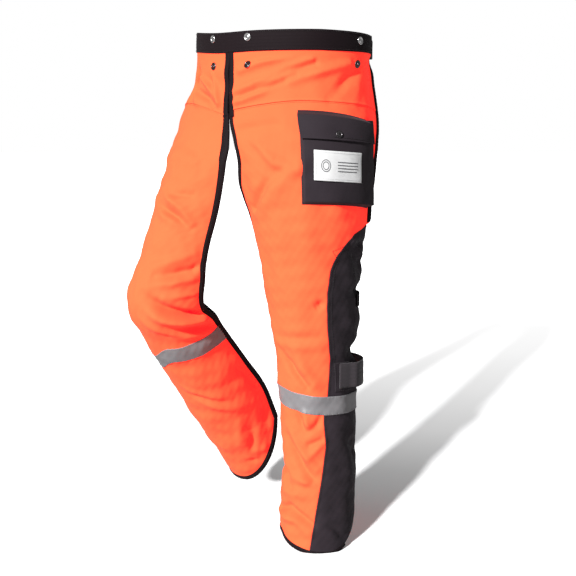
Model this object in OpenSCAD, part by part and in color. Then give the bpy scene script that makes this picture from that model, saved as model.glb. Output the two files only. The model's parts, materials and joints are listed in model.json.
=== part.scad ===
// Chainsaw chaps: waistband with back belt, two protective legs of layered
// fabric, cargo pocket, reflective tape and calf closures.
// Units mm. +Z up, the wearer faces -Y, +X is the wearer's left.
// The origin is the centre of the waist opening, at waistband height.

/* [Waist] */
// Width of the waist opening across the hips
waist_w = 376; // [320:1:440]
// Depth of the waist opening, front to back
waist_d = 288; // [240:1:340]
// Height of the waistband
band_h = 38; // [30:1:50]
// Height of the waistband's top edge above the origin
band_top = 10; // [0:1:20]
// Thickness of the waistband
band_t = 1.8; // [1:0.1:4]
// Angle that the waistband wraps from the front centre to each end
band_wrap = 122; // [100:1:135]

/* [Legs] */
// Width of the leg section at mid thigh
thigh_w = 296; // [240:1:340]
// Width of the leg section at the knee
knee_w = 170; // [140:1:220]
// Width of the leg section at the calf
calf_w = 146; // [120:1:200]
// Width of the right calf section, which hangs more open
open_calf_w = 180; // [140:1:220]
// Depth of the hem below the origin at its lowest point
leg_len = 990; // [950:1:1000]
// Depth of the right hem, before its knee takes up cloth
bent_leg_len = 1008; // [990:1:1020]
// Height of the seam between yoke and leg, at the left side
yoke_seam = -115; // [-130:1:-108]
// Height of the seam between yoke and leg, at the right side
right_yoke_seam = -124; // [-130:1:-110]
// Top of the section that bends at the left knee
left_knee_top = -508; // [-520:1:-500]
// Bottom of the section that bends at the left knee
left_knee_bot = -605; // [-640:1:-580]
// Top of the section that bends at the right knee
right_knee_top = -463; // [-475:1:-455]
// Bottom of the section that bends at the right knee
right_knee_bot = -566; // [-590:1:-560]

/* [Layers] */
// Thickness of the outer shell fabric
shell_t = 1.2; // [0.6:0.1:2]
// Thickness of the cut-resistant pad
pad_t = 4.2; // [3:0.1:10]
// Thickness of the lining
lining_t = 0.8; // [0.4:0.1:2]
// Clearance between two layers
layer_gap = 1; // [0.6:0.1:1.5]
// Width of the edge binding seen from outside
bind_w = 8; // [5:0.5:14]
// Thickness of the binding tape
bind_t = 0.9; // [0.6:0.1:2]

/* [Trim] */
// Height of the tape's top edge on the left leg
left_tape_z = -672; // [-720:1:-668]
// Height of the tape's top edge on the right leg, whose knee takes up cloth
right_tape_z = -594; // [-640:1:-590]
// Width of the reflective tape
tape_w = 37; // [20:1:50]
// Width of the knee strap webbing
knee_strap_w = 25; // [20:1:40]
// Width of the calf strap
calf_strap_w = 48; // [30:1:50]
// Width of the back belt webbing
belt_w = 36; // [25:1:50]
// Thickness of webbing
web_t = 1.6; // [1:0.1:3]
// Radius of a snap fastener
snap_r = 6.5; // [4:0.5:9]
// Height of the pocket below its top edge
pocket_h = 154; // [120:1:200]
// Depth of the pocket pouch
pocket_d = 9; // [6:0.5:30]

/* [Pose] */
// Forward bend of the right hip
hip_bend = 17.5; // [0:0.5:40]
// Bend of the right knee
knee_bend = 55.5; // [0:0.5:70]
// Sideways splay of the right leg
splay = 7; // [5:0.5:9]

/* [Hidden] */
wx = waist_w / 2;
wy = waist_d / 2;
tx = thigh_w / 2;
kx = knee_w / 2;
cx = calf_w / 2;
ox = open_calf_w / 2;
// Section rows: height, centre x, centre y, half width, half depth,
// angle of the inner edge and of the outer rear edge, from the front.
LEFT = [
  [0, 0, 0, wx, wy, 0, 122],
  [-75, 0, 0, wx + 4, wy, 0, 124],
  [-150, 2, -2, wx + 18, wy + 2, 0.6, 126],
  [-190, 31, -9, tx + 31, wy - 4, -5, 125],
  [-230, 62, -16, tx, tx - 14, -16, 124],
  [-320, 95, -27, tx - 34, tx - 32, -47, 119],
  [-420, 101, -27, kx + 12, kx + 14, -60, 134],
  [-520, 104, -24, kx, kx + 1, -68, 150],
  [-620, 106, -17, cx + 4, cx + 4, -84, 156],
  [-720, 107, -12, cx + 1, cx + 1, -100, 156],
  [-820, 106, -8, cx, cx, -104, 154],
  [-920, 104, -8, cx, cx, -104, 138],
  [-990, 102, -8, cx, cx, -104, 128]];
RIGHT = [
  LEFT[0],
  at(LEFT, -40),
  [-75, 3, -1, wx + 6, wy, 0, 124],
  [-150, 13, 5, wx + 22, wy - 11, -5, 126],
  [-190, 39, 2, tx + 34, wy - 21, -16, 125],
  [-230, 62, -6, tx - 2, wy - 24, -31, 124],
  [-320, 87, -15, tx - 38, tx - 43, -50, 119],
  [-420, 100, -21, kx + 6, kx + 8, -66, 134],
  [-520, 108, -20, ox - 4, kx + 5, -96, 140],
  [-620, 110, -22, ox - 6, ox + 3, -105, 134],
  [-720, 107, -19, ox - 4, ox + 5, -108, 130],
  [-820, 102, -17, ox - 8, ox + 10, -112, 128],
  [-920, 94, -19, ox - 14, ox + 7, -104, 124],
  [-1020, 94, -19, ox - 14, ox + 7, -104, 120]];
// Seam between the orange front and the grey calf wrap: height, angle.
SEAM = [[-346, 119], [-352, 110], [-362, 93], [-378, 83], [-400, 72],
  [-430, 64], [-470, 60.5], [-540, 60], [-600, 62.5], [-674, 57],
  [-766, 50], [-834, 45], [-914, 37], [-990, 29]];
hip_z = [-53, -119];
bend_z = [-446, -596];
hip_y = -135;
knee_y = -55;
d_pad = shell_t + layer_gap;
d_lin = d_pad + pad_t + layer_gap;
d_back = d_lin + lining_t;
edge_gap = 0.3;
orange = [1.0, 0.42, 0.22];
charcoal = [0.2, 0.19, 0.2];
black = [0.07, 0.06, 0.07];
silver = [0.62, 0.62, 0.64];
kevlar = [0.86, 0.8, 0.6];
white = [0.93, 0.93, 0.93];

// ---- section and pose functions ----

function table(side) = side > 0 ? LEFT : RIGHT;
function knee_top(side) = side > 0 ? left_knee_top : right_knee_top;
function knee_bot(side) = side > 0 ? left_knee_bot : right_knee_bot;
function tape_z(side) = side > 0 ? left_tape_z : right_tape_z;
function strap_z(side) = side > 0 ? -492 : -434;
calf_z = -633;
function hem_z(side) = side > 0 ? -leg_len : -bent_leg_len;
function unit(v) = v / norm(v);
function smooth(x) = let (c = min(1, max(0, x))) c * c * (3 - 2 * c);

// Index of the table row above height z.
function row(t, z, i = 0) =
  (i >= len(t) - 2 || z > t[i + 1][0]) ? i : row(t, z, i + 1);

// Smooth interpolation of the table at height z.
function at(t, z) =
  let (i = row(t, z), a = t[i], b = t[i + 1])
  let (p = t[max(i - 1, 0)], q = t[min(i + 2, len(t) - 1)])
  let (h = b[0] - a[0], k = (z - a[0]) / h)
  let (m = (b - p) / (b[0] - p[0]) * h, n = (q - a) / (q[0] - a[0]) * h)
  (2 * k ^ 3 - 3 * k ^ 2 + 1) * a + (k ^ 3 - 2 * k ^ 2 + k) * m
  + (3 * k ^ 2 - 2 * k ^ 3) * b + (k ^ 3 - k ^ 2) * n;

// Point on the garment at height z and angle b, d mm outside the shell.
function leg_pt(side, z, b, d) =
  let (s = at(table(side), z))
  let (n = unit([sin(b) / s[3], -cos(b) / s[4]]))
  [s[1] + s[3] * sin(b) + d * n[0], s[2] - s[4] * cos(b) + d * n[1], z];

function turn_yz(p, y, z, a) =
  let (u = p[1] - y, v = p[2] - z)
  [p[0], y + u * cos(a) - v * sin(a), z + u * sin(a) + v * cos(a)];

function turn_xz(p, z, a) =
  let (u = p[0], v = p[2] - z)
  [u * cos(a) - v * sin(a), p[1], z + v * cos(a) + u * sin(a)];

// The left leg hangs straight; the right one is mirrored and bent.
function place(side, p) =
  side > 0 ? p :
  let (wk = smooth((bend_z[0] - p[2]) / (bend_z[0] - bend_z[1])))
  let (wh = smooth((hip_z[0] - p[2]) / (hip_z[0] - hip_z[1])))
  let (hz = (hip_z[0] + hip_z[1]) / 2, kz = (bend_z[0] + bend_z[1]) / 2)
  let (a = turn_yz([-p[0], p[1], p[2]], knee_y, kz, knee_bend * wk))
  turn_xz(turn_yz(a, hip_y, hz, -hip_bend * wh), hz, -splay * wh);

function lookup_b(side, z, k) = at(table(side), z)[k];
function inner_edge(side) = function(z) lookup_b(side, z, 5);
function outer_edge(side) = function(z) lookup_b(side, z, 6);
function seam(side, off) =
  function(z) z > SEAM[0][0] ? lookup_b(side, z, 6) + off
  : min(lookup(z, SEAM), lookup_b(side, z, 6)) + off;

// Height of the yoke seam by angle, and of the hem by angle.
function yoke_z(side, b) = (side > 0 ? yoke_seam : right_yoke_seam)
  - 18 * (max(0, 45 - b) / 45) ^ 1.5
  - 15 * (max(0, b - 45) / 75) ^ 1.5;
function hem_at(side, b) =
  let (r = side > 0 ? cx : ox, k = PI / 180)
  let (m = max(0, (b - lookup_b(side, -940, 5)) * k * r))
  let (l = max(0, (lookup_b(side, -940, 6) - b) * k * r))
  hem_z(side)
  + (side > 0 ? 0.0037 * min(abs(b - 58), 92) ^ 2
    : 0.0025 * max(0, b - 10) ^ 2)
  + (side < 0 ? 104 * (max(0, 140 - m) / 140) ^ 1.9
    : m < 75 ? 75 - sqrt(75 ^ 2 - (75 - m) ^ 2) : 0)
  + (l < 95 ? 130 * (1 - sqrt(1 - ((95 - l) / 95) ^ 2)) : 0);

// ---- builders ----

// Fabric sheet: zt, zb give top and bottom by column fraction, b0 and b1
// the edges by height, d the outer offset by fraction, t the thickness.
module sheet(side, zt, zb, b0, b1, d, t, nz, nb) {
  function pt(i, j, e) =
    let (v = j / nb, w = i / nz, z = zt(v) + (zb(v) - zt(v)) * w)
    place(side, leg_pt(side, z, b0(z) + (b1(z) - b0(z)) * v, d(v, w) - e));
  n = nb + 1;
  m = (nz + 1) * n;
  pts = [for (e = [0, t], i = [0:nz], j = [0:nb]) pt(i, j, e)];
  quads = [
    for (i = [0:nz - 1], j = [0:nb - 1])
      let (a = i * n + j) each [[a, a + 1, a + n + 1, a + n],
        [m + a, m + a + n, m + a + n + 1, m + a + 1]],
    for (j = [0:nb - 1])
      let (a = j, e = nz * n + j) each [[a + 1, a, m + a, m + a + 1],
        [e, e + 1, m + e + 1, m + e]],
    for (i = [0:nz - 1])
      let (a = i * n, b = i * n + nb) each [[a, a + n, m + a + n, m + a],
        [b + n, b, m + b, m + b + n]]];
  tri = [for (q = quads) each [[q[0], q[1], q[2]], [q[0], q[2], q[3]]]];
  polyhedron(pts, [for (f = tri) side > 0 ? f : [f[2], f[1], f[0]]],
    convexity = 10);
}

// Folded binding along a path of [height, angle]; flip puts the fabric on
// the other side of the path.
module binding(side, path, flip = 1, depth = d_back) {
  o = bind_t + edge_gap;
  sec = [[bind_w, o], [-o, o], [-o, -depth - o], [bind_w, -depth - o],
    [bind_w, -depth - edge_gap], [-edge_gap, -depth - edge_gap],
    [-edge_gap, edge_gap], [bind_w, edge_gap]];
  np = len(path);
  ring = [for (i = [0:np - 1])
    let (a = path[max(i - 1, 0)], c = path[min(i + 1, np - 1)])
    let (r = lookup_b(side, path[i][0], 3) * PI / 180)
    let (t = unit([(c[1] - a[1]) * r, c[0] - a[0]]) * flip)
    [for (s = sec) place(side, leg_pt(side, path[i][0] + t[0] * s[0],
      path[i][1] - t[1] * s[0] / r, s[1]))]];
  pts = [for (g = ring) each g];
  quads = [
    for (i = [0:np - 2], k = [0:7])
      let (a = i * 8 + k, b = i * 8 + (k + 1) % 8)
      [a, b, b + 8, a + 8],
    for (q = [[0, 1, 6, 7], [1, 2, 5, 6], [2, 3, 4, 5]])
      each [[q[3], q[2], q[1], q[0]], [for (x = q) (np - 1) * 8 + x]]];
  tri = [for (q = quads) each [[q[0], q[1], q[2]], [q[0], q[2], q[3]]]];
  polyhedron(pts, [for (f = tri) side * flip > 0 ? [f[2], f[1], f[0]] : f],
    convexity = 10);
}

// Flat webbing standing on edge along a path in plan, from z0 up by w.
module ribbon(side, plan, z0, w, t) {
  np = len(plan);
  off = [for (i = [0:np - 1])
    let (a = plan[max(i - 1, 0)], c = plan[min(i + 1, np - 1)])
    let (n = unit([c[1] - a[1], a[0] - c[0]])) plan[i] + n * t];
  pts = [for (i = [0:np - 1])
    each [for (q = [[plan[i], z0], [off[i], z0], [off[i], z0 + w],
      [plan[i], z0 + w]]) place(side, [q[0][0], q[0][1], q[1]])]];
  quads = [
    for (i = [0:np - 2], k = [0:3])
      let (a = i * 4 + k, b = i * 4 + (k + 1) % 4) [a, b, b + 4, a + 4],
    [3, 2, 1, 0], [for (k = [0:3]) (np - 1) * 4 + k]];
  tri = [for (q = quads) each [[q[0], q[1], q[2]], [q[0], q[2], q[3]]]];
  polyhedron(pts, [for (f = tri) side > 0 ? f : [f[2], f[1], f[0]]],
    convexity = 6);
}

// Children placed at p with local X along u and local Z along w.
module on_frame(side, p, u, w) {
  o = place(side, p);
  ex = unit(place(side, p + u) - o);
  wz = place(side, p + w) - o;
  ez = unit(wz - (wz * ex) * ex);
  ey = cross(ez, ex);
  multmatrix([[ex[0], ey[0], ez[0], o[0]], [ex[1], ey[1], ez[1], o[1]],
    [ex[2], ey[2], ez[2], o[2]]]) children();
}

// Children on the garment at height z and angle b, local Z pointing out.
module on_skin(side, z, b, d) {
  p = leg_pt(side, z, b, d);
  n = unit(leg_pt(side, z, b, d + 1) - p);
  on_frame(side, p, [-n[1], n[0], 0], n) children();
}

module snap_cap() {
  difference() {
    cylinder(h = 2.2, r1 = snap_r, r2 = snap_r - 1.2, $fn = 48);
    translate([0, 0, 1.2])
      cylinder(h = 2, r = snap_r * 0.42, $fn = 48);
  }
}

module snap_stud() {
  cylinder(h = 1.2, r = snap_r - 0.6, $fn = 48);
  cylinder(h = 3.4, r = snap_r * 0.34, $fn = 48);
}

// ---- shared measures for the pieces ----

function flat_d(x) = function(v, w) x;
function const_z(x) = function(v) x;
function const_b(x) = function(z) x;
// Yoke seam by column fraction, from angle lo past the inner edge.
function seam_top(side, lo, up) =
  let (b0 = lookup_b(side, -140, 5) + lo, b1 = lookup_b(side, -140, 6))
  function(v) yoke_z(side, b0 + (b1 - b0) * v) + up;
function band_rise(b) = 3 - exp(-(b / 14) ^ 2)
  - 5 * (max(0, abs(b) - 60) / 60) + 9 * smooth((-b - 6) / 50);
function hem_line(side, b0, b1, up) = function(v)
  hem_at(side, b0 + (b1 - b0) * v) + up;
function edge_path(side, z0, z1, n, k) =
  [for (i = [0:n]) let (z = z0 + (z1 - z0) * i / n)
    [z, lookup_b(side, z, k)]];

// Strap path in plan round the leg at height z from angle b0 to b1, with
// its offset going from d0 to d1.
function arc_plan(side, z, b0, b1, d0, d1, n) =
  [for (i = [0:n])
    let (k = i / n, p = leg_pt(side, z, b0 + (b1 - b0) * k,
      d0 + (d1 - d0) * smooth(k)))
    [p[0], p[1]]];

strap_d = 2.4;
inside_d = -d_back - 6;
// The straight run of the knee strap that carries the buckle.
function run_b(side) = side > 0 ? [196, 256] : [144, 282];
function chord(side, k) =
  let (a = leg_pt(side, strap_z(side), run_b(side)[0], strap_d))
  let (b = leg_pt(side, strap_z(side), run_b(side)[1],
    side > 0 ? strap_d : -9)) a + (b - a) * k;
function chord_at(side, mm) =
  let (p = chord(side, 0.52 + mm / norm(chord(side, 1) - chord(side, 0))))
  [p[0], p[1]];

// ---- waist ----

module waistband()
  color(black)
    sheet(1, function(v) band_top + band_rise((2 * v - 1) * band_wrap),
      function(v) band_top - band_h + band_rise((2 * v - 1) * band_wrap)
        + 4 * smooth(v * 4 - 3),
      const_b(-band_wrap), const_b(band_wrap), flat_d(0.6 + band_t),
      band_t, 2, 40);

module centre_strip()
  color(black)
    sheet(1, const_z(band_top - band_h - 5.5), const_z(-116),
      const_b(-2.3), const_b(2.3), flat_d(1.2), 2.4, 3, 2);

module band_snap_caps()
  color(silver)
    for (q = [[1, 1, 14], [1, -5, 93], [-1, 2, 14], [-1, 4, 93]])
      on_skin(q[0], q[1], q[2], 0.9 + band_t) snap_cap();

module yoke_snap_studs()
  color(silver * 0.5)
    for (q = [[1, -49, 14], [1, -48, 91], [-1, -49, 14], [-1, -48, 91]])
      on_skin(q[0], q[1], q[2], 1.1) snap_stud();

module yoke(side)
  color(orange)
    sheet(side, const_z(-2),
      seam_top(side, 3, 0.6), function(z) inner_edge(side)(z) + 3,
      function(z) outer_edge(side)(z) - 0.6,
      flat_d(0), shell_t, 6, 22);

module left_yoke() yoke(1);
module right_yoke() yoke(-1);

module yoke_binding(side)
  color(black)
    binding(side, edge_path(side, band_top - band_h - 9,
      yoke_z(side, lookup_b(side, -130, 6)) + 1, 5, 6), -1, shell_t);

module left_yoke_binding() yoke_binding(1);
module right_yoke_binding() yoke_binding(-1);

belt_z = band_top - band_h / 2 - 3;
belt_y = wy - 2;
module belt(side, x_end)
  color(black)
    mirror([side > 0 ? 0 : 1, 0, 0])
      ribbon(1, concat(arc_plan(1, 0, 112, 124, -3.4, -3.4, 4),
        [[112, belt_y - 1.5], [100, belt_y], [x_end, belt_y]]),
        belt_z - belt_w / 2, belt_w, web_t);

module left_belt_webbing() belt(1, 34);
module right_belt_webbing() belt(-1, 4);

// Side-release buckle for webbing of width w; local X runs from the socket
// towards the plug, local Y out of the body, local Z across the webbing.
module socket(w) {
  difference() {
    translate([-30, -4.5, -w / 2 - 5]) cube([30, 9, w + 10]);
    translate([-22, -2.5, -w / 2 - 2]) cube([30, 5, w + 4]);
    translate([-31, -1.4, -w / 2 - 0.5]) cube([6, 2.8, w + 1]);
    for (s = [-1, 1])
      translate([-15, -1.7, s * (w / 2 + 3.4) - 2]) cube([9, 3.4, 4]);
  }
}

module plug(w) {
  difference() {
    translate([0.6, -4, -w / 2 - 4]) cube([17, 8, w + 8]);
    translate([11, -1.4, -w / 2 - 0.5]) cube([12, 2.8, w + 1]);
  }
  for (s = [-1, 1])
    translate([-18, -2, s * (w / 2 - 1.5) - 3]) cube([20, 4, 6]);
}

module belt_socket()
  color(black)
    translate([8, belt_y + web_t / 2, belt_z])
      rotate([0, 0, 180]) socket(belt_w);

module belt_plug()
  color(black)
    translate([8, belt_y + web_t / 2, belt_z])
      rotate([0, 0, 180]) plug(belt_w);

// Tri-glide: two bars inside the webbing and one outside it.
module belt_adjuster()
  color(black)
    translate([-66, belt_y + web_t / 2, belt_z]) {
      for (s = [-1, 1])
        translate([-13, -3.6, s * (belt_w / 2 + 2.4) - 2])
          cube([26, 7.2, 4]);
      for (x = [-13, 9])
        translate([x, -3.6, -belt_w / 2 - 3]) cube([4, 2.4, belt_w + 6]);
      translate([-3, 1.2, -belt_w / 2 - 3]) cube([6, 2.4, belt_w + 6]);
    }

// ---- pocket ----

pocket_z = -152;
// The pouch is deepest at its lower rear corner.
function pouch_d(v, w) =
  0.6 + (pocket_d + 12 * max(0, v - 0.8) * w) * smooth(min(v, 1 - v) * 18)
  * smooth((1 - w) * 16);

module pocket_pouch()
  color(charcoal)
    sheet(1, const_z(pocket_z), const_z(pocket_z - pocket_h),
      function(z) 43.8 + (z - pocket_z) * 0.044,
      function(z) 100 - (z - pocket_z) * 0.08,
      function(v, w) 1.8 + pouch_d(v, w), shell_t, 14, 20);

module pocket_flap()
  color(charcoal)
    sheet(1, function(v) -133 - 17 * v ^ 2, function(v) -184 - 12 * v ^ 1.5,
      const_b(43), function(z) 97 - (z + 140) * 0.07,
      flat_d(pocket_d + 6), 1.8, 4, 18);

module pocket_label()
  color(white)
    sheet(1, function(v) -205 - 5 * v, function(v) -259 - 5 * v,
      const_b(50), const_b(87), flat_d(pocket_d + 3.7), 0.6, 3, 8);

module pocket_stud()
  color(silver * 0.5)
    on_skin(1, -177, 67, pocket_d + 2.6)
      cylinder(h = 0.4, r = snap_r - 1.4, $fn = 48);

module flap_snap_cap()
  color(silver * 0.5)
    on_skin(1, -177, 67, pocket_d + 6.4) snap_cap();

// ---- thigh ----

module thigh_shell(side)
  color(orange)
    sheet(side, seam_top(side, 0, -0.6), const_z(knee_top(side) + 0.4),
      inner_edge(side), seam(side, -0.3), flat_d(0), shell_t, 18, 20);

module thigh_pad(side)
  color(kevlar)
    sheet(side, const_z(-168), const_z(knee_top(side) + 1),
      function(z) inner_edge(side)(z) + 7,
      function(z) outer_edge(side)(z) - 9, flat_d(-d_pad), pad_t, 15, 16);

module thigh_lining(side)
  color(black)
    sheet(side, seam_top(side, 0, -4.6),
      const_z(knee_top(side) + 0.4), inner_edge(side), outer_edge(side),
      flat_d(-d_lin), lining_t, 15, 16);

module thigh_wrap(side)
  color(charcoal)
    sheet(side, const_z(-350), const_z(knee_top(side) + 0.4), seam(side, 0.4),
      outer_edge(side), flat_d(0), shell_t, 10, 6);

module thigh_bindings(side)
  color(black) {
    binding(side, edge_path(side, -146, knee_top(side) + 1, 12, 5), 1);
    binding(side, edge_path(side, -150, -342, 7, 6), -1);
  }

// ---- knee section ----

module knee_shell(side)
  color(orange)
    sheet(side, const_z(knee_top(side) - 0.4), const_z(knee_bot(side) + 0.4),
      inner_edge(side), seam(side, -0.3), flat_d(0), shell_t, 8, 12);

module knee_quilt(side)
  color(kevlar)
    sheet(side, const_z(knee_top(side) - 0.6), const_z(knee_bot(side) + 0.6),
      inner_edge(side), function(z) outer_edge(side)(z) - 4,
      flat_d(-d_pad), pad_t + layer_gap + lining_t, 6, 16);

module knee_wrap(side)
  color(charcoal)
    sheet(side, const_z(knee_top(side) - 0.4), const_z(knee_bot(side) + 0.4),
      seam(side, 0.4), outer_edge(side), flat_d(0), shell_t, 8, 7);

module knee_binding(side)
  color(black)
    binding(side, edge_path(side, knee_top(side) - 1, knee_bot(side) + 3, 6, 5), 1);

// ---- shin ----

function shin_path(side) = concat(
  edge_path(side, knee_bot(side) - 1, -780, 5, 5),
  [for (z = [-810, -840, -865]) [z, lookup_b(side, z, 5)]],
  [for (v = [0.02, 0.05, 0.1, 0.16, 0.24, 0.32, 0.4, 0.48, 0.56, 0.64,
    0.72, 0.8, 0.86])
    let (b = lookup_b(side, -940, 5) * (1 - v) + 116 * v)
    [hem_at(side, b), b]]);

module shin_shell(side)
  color(orange)
    sheet(side, const_z(knee_bot(side) - 0.4),
      hem_line(side, lookup_b(side, -940, 5), lookup(-960, SEAM), 0),
      inner_edge(side), seam(side, -0.3), flat_d(0), shell_t, 14, 16);

module shin_pad(side)
  color(kevlar)
    sheet(side, const_z(knee_bot(side) - 1), const_z(-880),
      function(z) inner_edge(side)(z) + 10,
      function(z) outer_edge(side)(z) - 14, flat_d(-d_pad), pad_t, 8, 18);

module shin_lining(side)
  color(black)
    sheet(side, const_z(knee_bot(side) - 1.6),
      hem_line(side, lookup_b(side, -940, 5) + 2,
        lookup_b(side, -940, 6) - 2, 3),
      inner_edge(side), function(z) outer_edge(side)(z) - 1,
      flat_d(-d_lin), lining_t, 8, 20);

module shin_wrap(side)
  color(charcoal)
    sheet(side, const_z(knee_bot(side) - 0.4),
      hem_line(side, lookup(-960, SEAM), lookup_b(side, -940, 6), 0),
      seam(side, 0.4), outer_edge(side), flat_d(0), shell_t, 14, 10);

module shin_binding(side)
  color(black)
    binding(side, shin_path(side), 1);

// Top edge of the tape by angle; it runs askew where the cloth is bunched.
function tape_line(side, b) = tape_z(side) + (side > 0
  ? 18 * (1 - smooth((b + 70) / 130))
  : -0.2 * max(0, -24 - b) - 30 * smooth((b + 24) / 40));

module reflective_tape(side) {
  b0 = lookup_b(side, -640, 5) + 6;
  b1 = lookup_b(side, -640, 6) - 4;
  color(silver)
    sheet(side, function(v) tape_line(side, b0 + (b1 - b0) * v),
      function(v) tape_line(side, b0 + (b1 - b0) * v) - tape_w,
      function(z) inner_edge(side)(z) + 8,
      function(z) outer_edge(side)(z) - 4,
      flat_d(1.4), 0.6, 2, 28);
}

// ---- leg straps ----

module knee_webbing(side)
  color(black)
    ribbon(side, concat(
      arc_plan(side, strap_z(side), 114, run_b(side)[0], strap_d, strap_d, 8),
      [chord_at(side, -27)]),
      strap_z(side) - knee_strap_w / 2, knee_strap_w, web_t);

module knee_tail(side) {
  e = 360 + lookup_b(side, strap_z(side), 5);
  color(black)
    ribbon(side, concat([chord_at(side, 12)],
      arc_plan(side, strap_z(side), run_b(side)[1], e - 3,
        side > 0 ? strap_d : -9, inside_d, 4),
      arc_plan(side, strap_z(side), e + 2, e + 9, inside_d, inside_d, 2)),
      strap_z(side) - knee_strap_w / 2, knee_strap_w, web_t);
}

module knee_buckle(side) {
  u = unit(chord(side, 1) - chord(side, 0));
  n = [u[1], -u[0], 0];
  on_frame(side, chord(side, 0.52) + n * (web_t / 2), u, [0, 0, 1])
    children();
}

module knee_socket(side)
  color(black)
    knee_buckle(side) socket(knee_strap_w);

module knee_plug(side)
  color(black)
    knee_buckle(side) plug(knee_strap_w);

module calf_strap(side) {
  e = 360 + lookup_b(side, calf_z, 5);
  far = side > 0 ? e - 30 : 138;
  color(black)
    ribbon(side, concat(
      arc_plan(side, calf_z, 74, 92, 4.6, 4.6, 3),
      arc_plan(side, calf_z, 100, far, side > 0 ? 13 : 4.6, 4.6, 14),
      arc_plan(side, calf_z, e - 17, e - 6, side > 0 ? -2 : -10, inside_d, 2),
      arc_plan(side, calf_z, e + 2.5, e + 5.5, inside_d, inside_d, 1)),
      calf_z - calf_strap_w / 2, calf_strap_w, 2);
}

module loop_patch(side)
  color(black)
    sheet(side, const_z(calf_z + 25), const_z(calf_z - 31), const_b(66),
      const_b(104), flat_d(side > 0 ? 2.4 : 3.8), 1.4, 3, 6);

module left_thigh_shell() thigh_shell(1);
module left_thigh_pad() thigh_pad(1);
module left_thigh_lining() thigh_lining(1);
module left_thigh_wrap() thigh_wrap(1);
module left_thigh_bindings() thigh_bindings(1);
module left_knee_shell() knee_shell(1);
module left_knee_quilt() knee_quilt(1);
module left_knee_wrap() knee_wrap(1);
module left_knee_binding() knee_binding(1);
module left_shin_shell() shin_shell(1);
module left_shin_pad() shin_pad(1);
module left_shin_lining() shin_lining(1);
module left_shin_wrap() shin_wrap(1);
module left_shin_binding() shin_binding(1);
module left_reflective_tape() reflective_tape(1);
module left_knee_webbing() knee_webbing(1);
module left_knee_tail() knee_tail(1);
module left_knee_socket() knee_socket(1);
module left_knee_plug() knee_plug(1);
module left_calf_strap() calf_strap(1);
module left_loop_patch() loop_patch(1);
module right_thigh_shell() thigh_shell(-1);
module right_thigh_pad() thigh_pad(-1);
module right_thigh_lining() thigh_lining(-1);
module right_thigh_wrap() thigh_wrap(-1);
module right_thigh_bindings() thigh_bindings(-1);
module right_knee_shell() knee_shell(-1);
module right_knee_quilt() knee_quilt(-1);
module right_knee_wrap() knee_wrap(-1);
module right_knee_binding() knee_binding(-1);
module right_shin_shell() shin_shell(-1);
module right_shin_pad() shin_pad(-1);
module right_shin_lining() shin_lining(-1);
module right_shin_wrap() shin_wrap(-1);
module right_shin_binding() shin_binding(-1);
module right_reflective_tape() reflective_tape(-1);
module right_knee_webbing() knee_webbing(-1);
module right_knee_tail() knee_tail(-1);
module right_knee_socket() knee_socket(-1);
module right_knee_plug() knee_plug(-1);
module right_calf_strap() calf_strap(-1);
module right_loop_patch() loop_patch(-1);

waistband();
centre_strip();
band_snap_caps();
yoke_snap_studs();
left_yoke();
right_yoke();
left_yoke_binding();
right_yoke_binding();
left_belt_webbing();
right_belt_webbing();
belt_socket();
belt_plug();
belt_adjuster();
pocket_pouch();
pocket_label();
pocket_stud();
pocket_flap();
flap_snap_cap();
left_thigh_shell();
left_thigh_pad();
left_thigh_lining();
left_thigh_wrap();
left_thigh_bindings();
left_knee_shell();
left_knee_quilt();
left_knee_wrap();
left_knee_binding();
left_shin_shell();
left_shin_pad();
left_shin_lining();
left_shin_wrap();
left_shin_binding();
left_reflective_tape();
left_knee_webbing();
left_knee_tail();
left_knee_socket();
left_knee_plug();
left_calf_strap();
left_loop_patch();
right_thigh_shell();
right_thigh_pad();
right_thigh_lining();
right_thigh_wrap();
right_thigh_bindings();
right_knee_shell();
right_knee_quilt();
right_knee_wrap();
right_knee_binding();
right_shin_shell();
right_shin_pad();
right_shin_lining();
right_shin_wrap();
right_shin_binding();
right_reflective_tape();
right_knee_webbing();
right_knee_tail();
right_knee_socket();
right_knee_plug();
right_calf_strap();
right_loop_patch();
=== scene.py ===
"""Chainsaw chaps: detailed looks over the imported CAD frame.

Heights z, angles b (degrees from the front, towards the outside of the leg)
and offsets d are the CAD's own, in millimetres; everything that reaches
Blender is in metres in the CAD frame.
"""

import json
import math

import bpy
import numpy as np
from mathutils import Matrix, Vector

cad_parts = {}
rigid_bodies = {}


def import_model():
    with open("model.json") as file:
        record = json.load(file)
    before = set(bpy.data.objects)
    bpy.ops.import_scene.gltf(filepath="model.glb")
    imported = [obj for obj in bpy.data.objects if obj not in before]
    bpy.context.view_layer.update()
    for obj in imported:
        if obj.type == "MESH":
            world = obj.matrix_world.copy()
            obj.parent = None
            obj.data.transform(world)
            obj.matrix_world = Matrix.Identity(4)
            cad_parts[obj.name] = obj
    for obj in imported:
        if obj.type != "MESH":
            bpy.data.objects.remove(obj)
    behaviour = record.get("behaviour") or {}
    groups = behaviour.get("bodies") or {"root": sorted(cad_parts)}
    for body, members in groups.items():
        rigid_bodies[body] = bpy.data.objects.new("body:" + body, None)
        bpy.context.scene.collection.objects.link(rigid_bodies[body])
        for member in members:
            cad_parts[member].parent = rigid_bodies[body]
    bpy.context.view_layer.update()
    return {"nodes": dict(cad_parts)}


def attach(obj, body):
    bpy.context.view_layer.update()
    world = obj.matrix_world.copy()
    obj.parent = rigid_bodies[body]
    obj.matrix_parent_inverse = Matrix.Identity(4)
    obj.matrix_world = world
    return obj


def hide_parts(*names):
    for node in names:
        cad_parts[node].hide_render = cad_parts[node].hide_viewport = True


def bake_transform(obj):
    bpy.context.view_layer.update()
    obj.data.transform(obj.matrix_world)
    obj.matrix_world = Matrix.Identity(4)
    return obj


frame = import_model()
RNG = np.random.default_rng(11)
K = math.pi / 180

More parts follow.
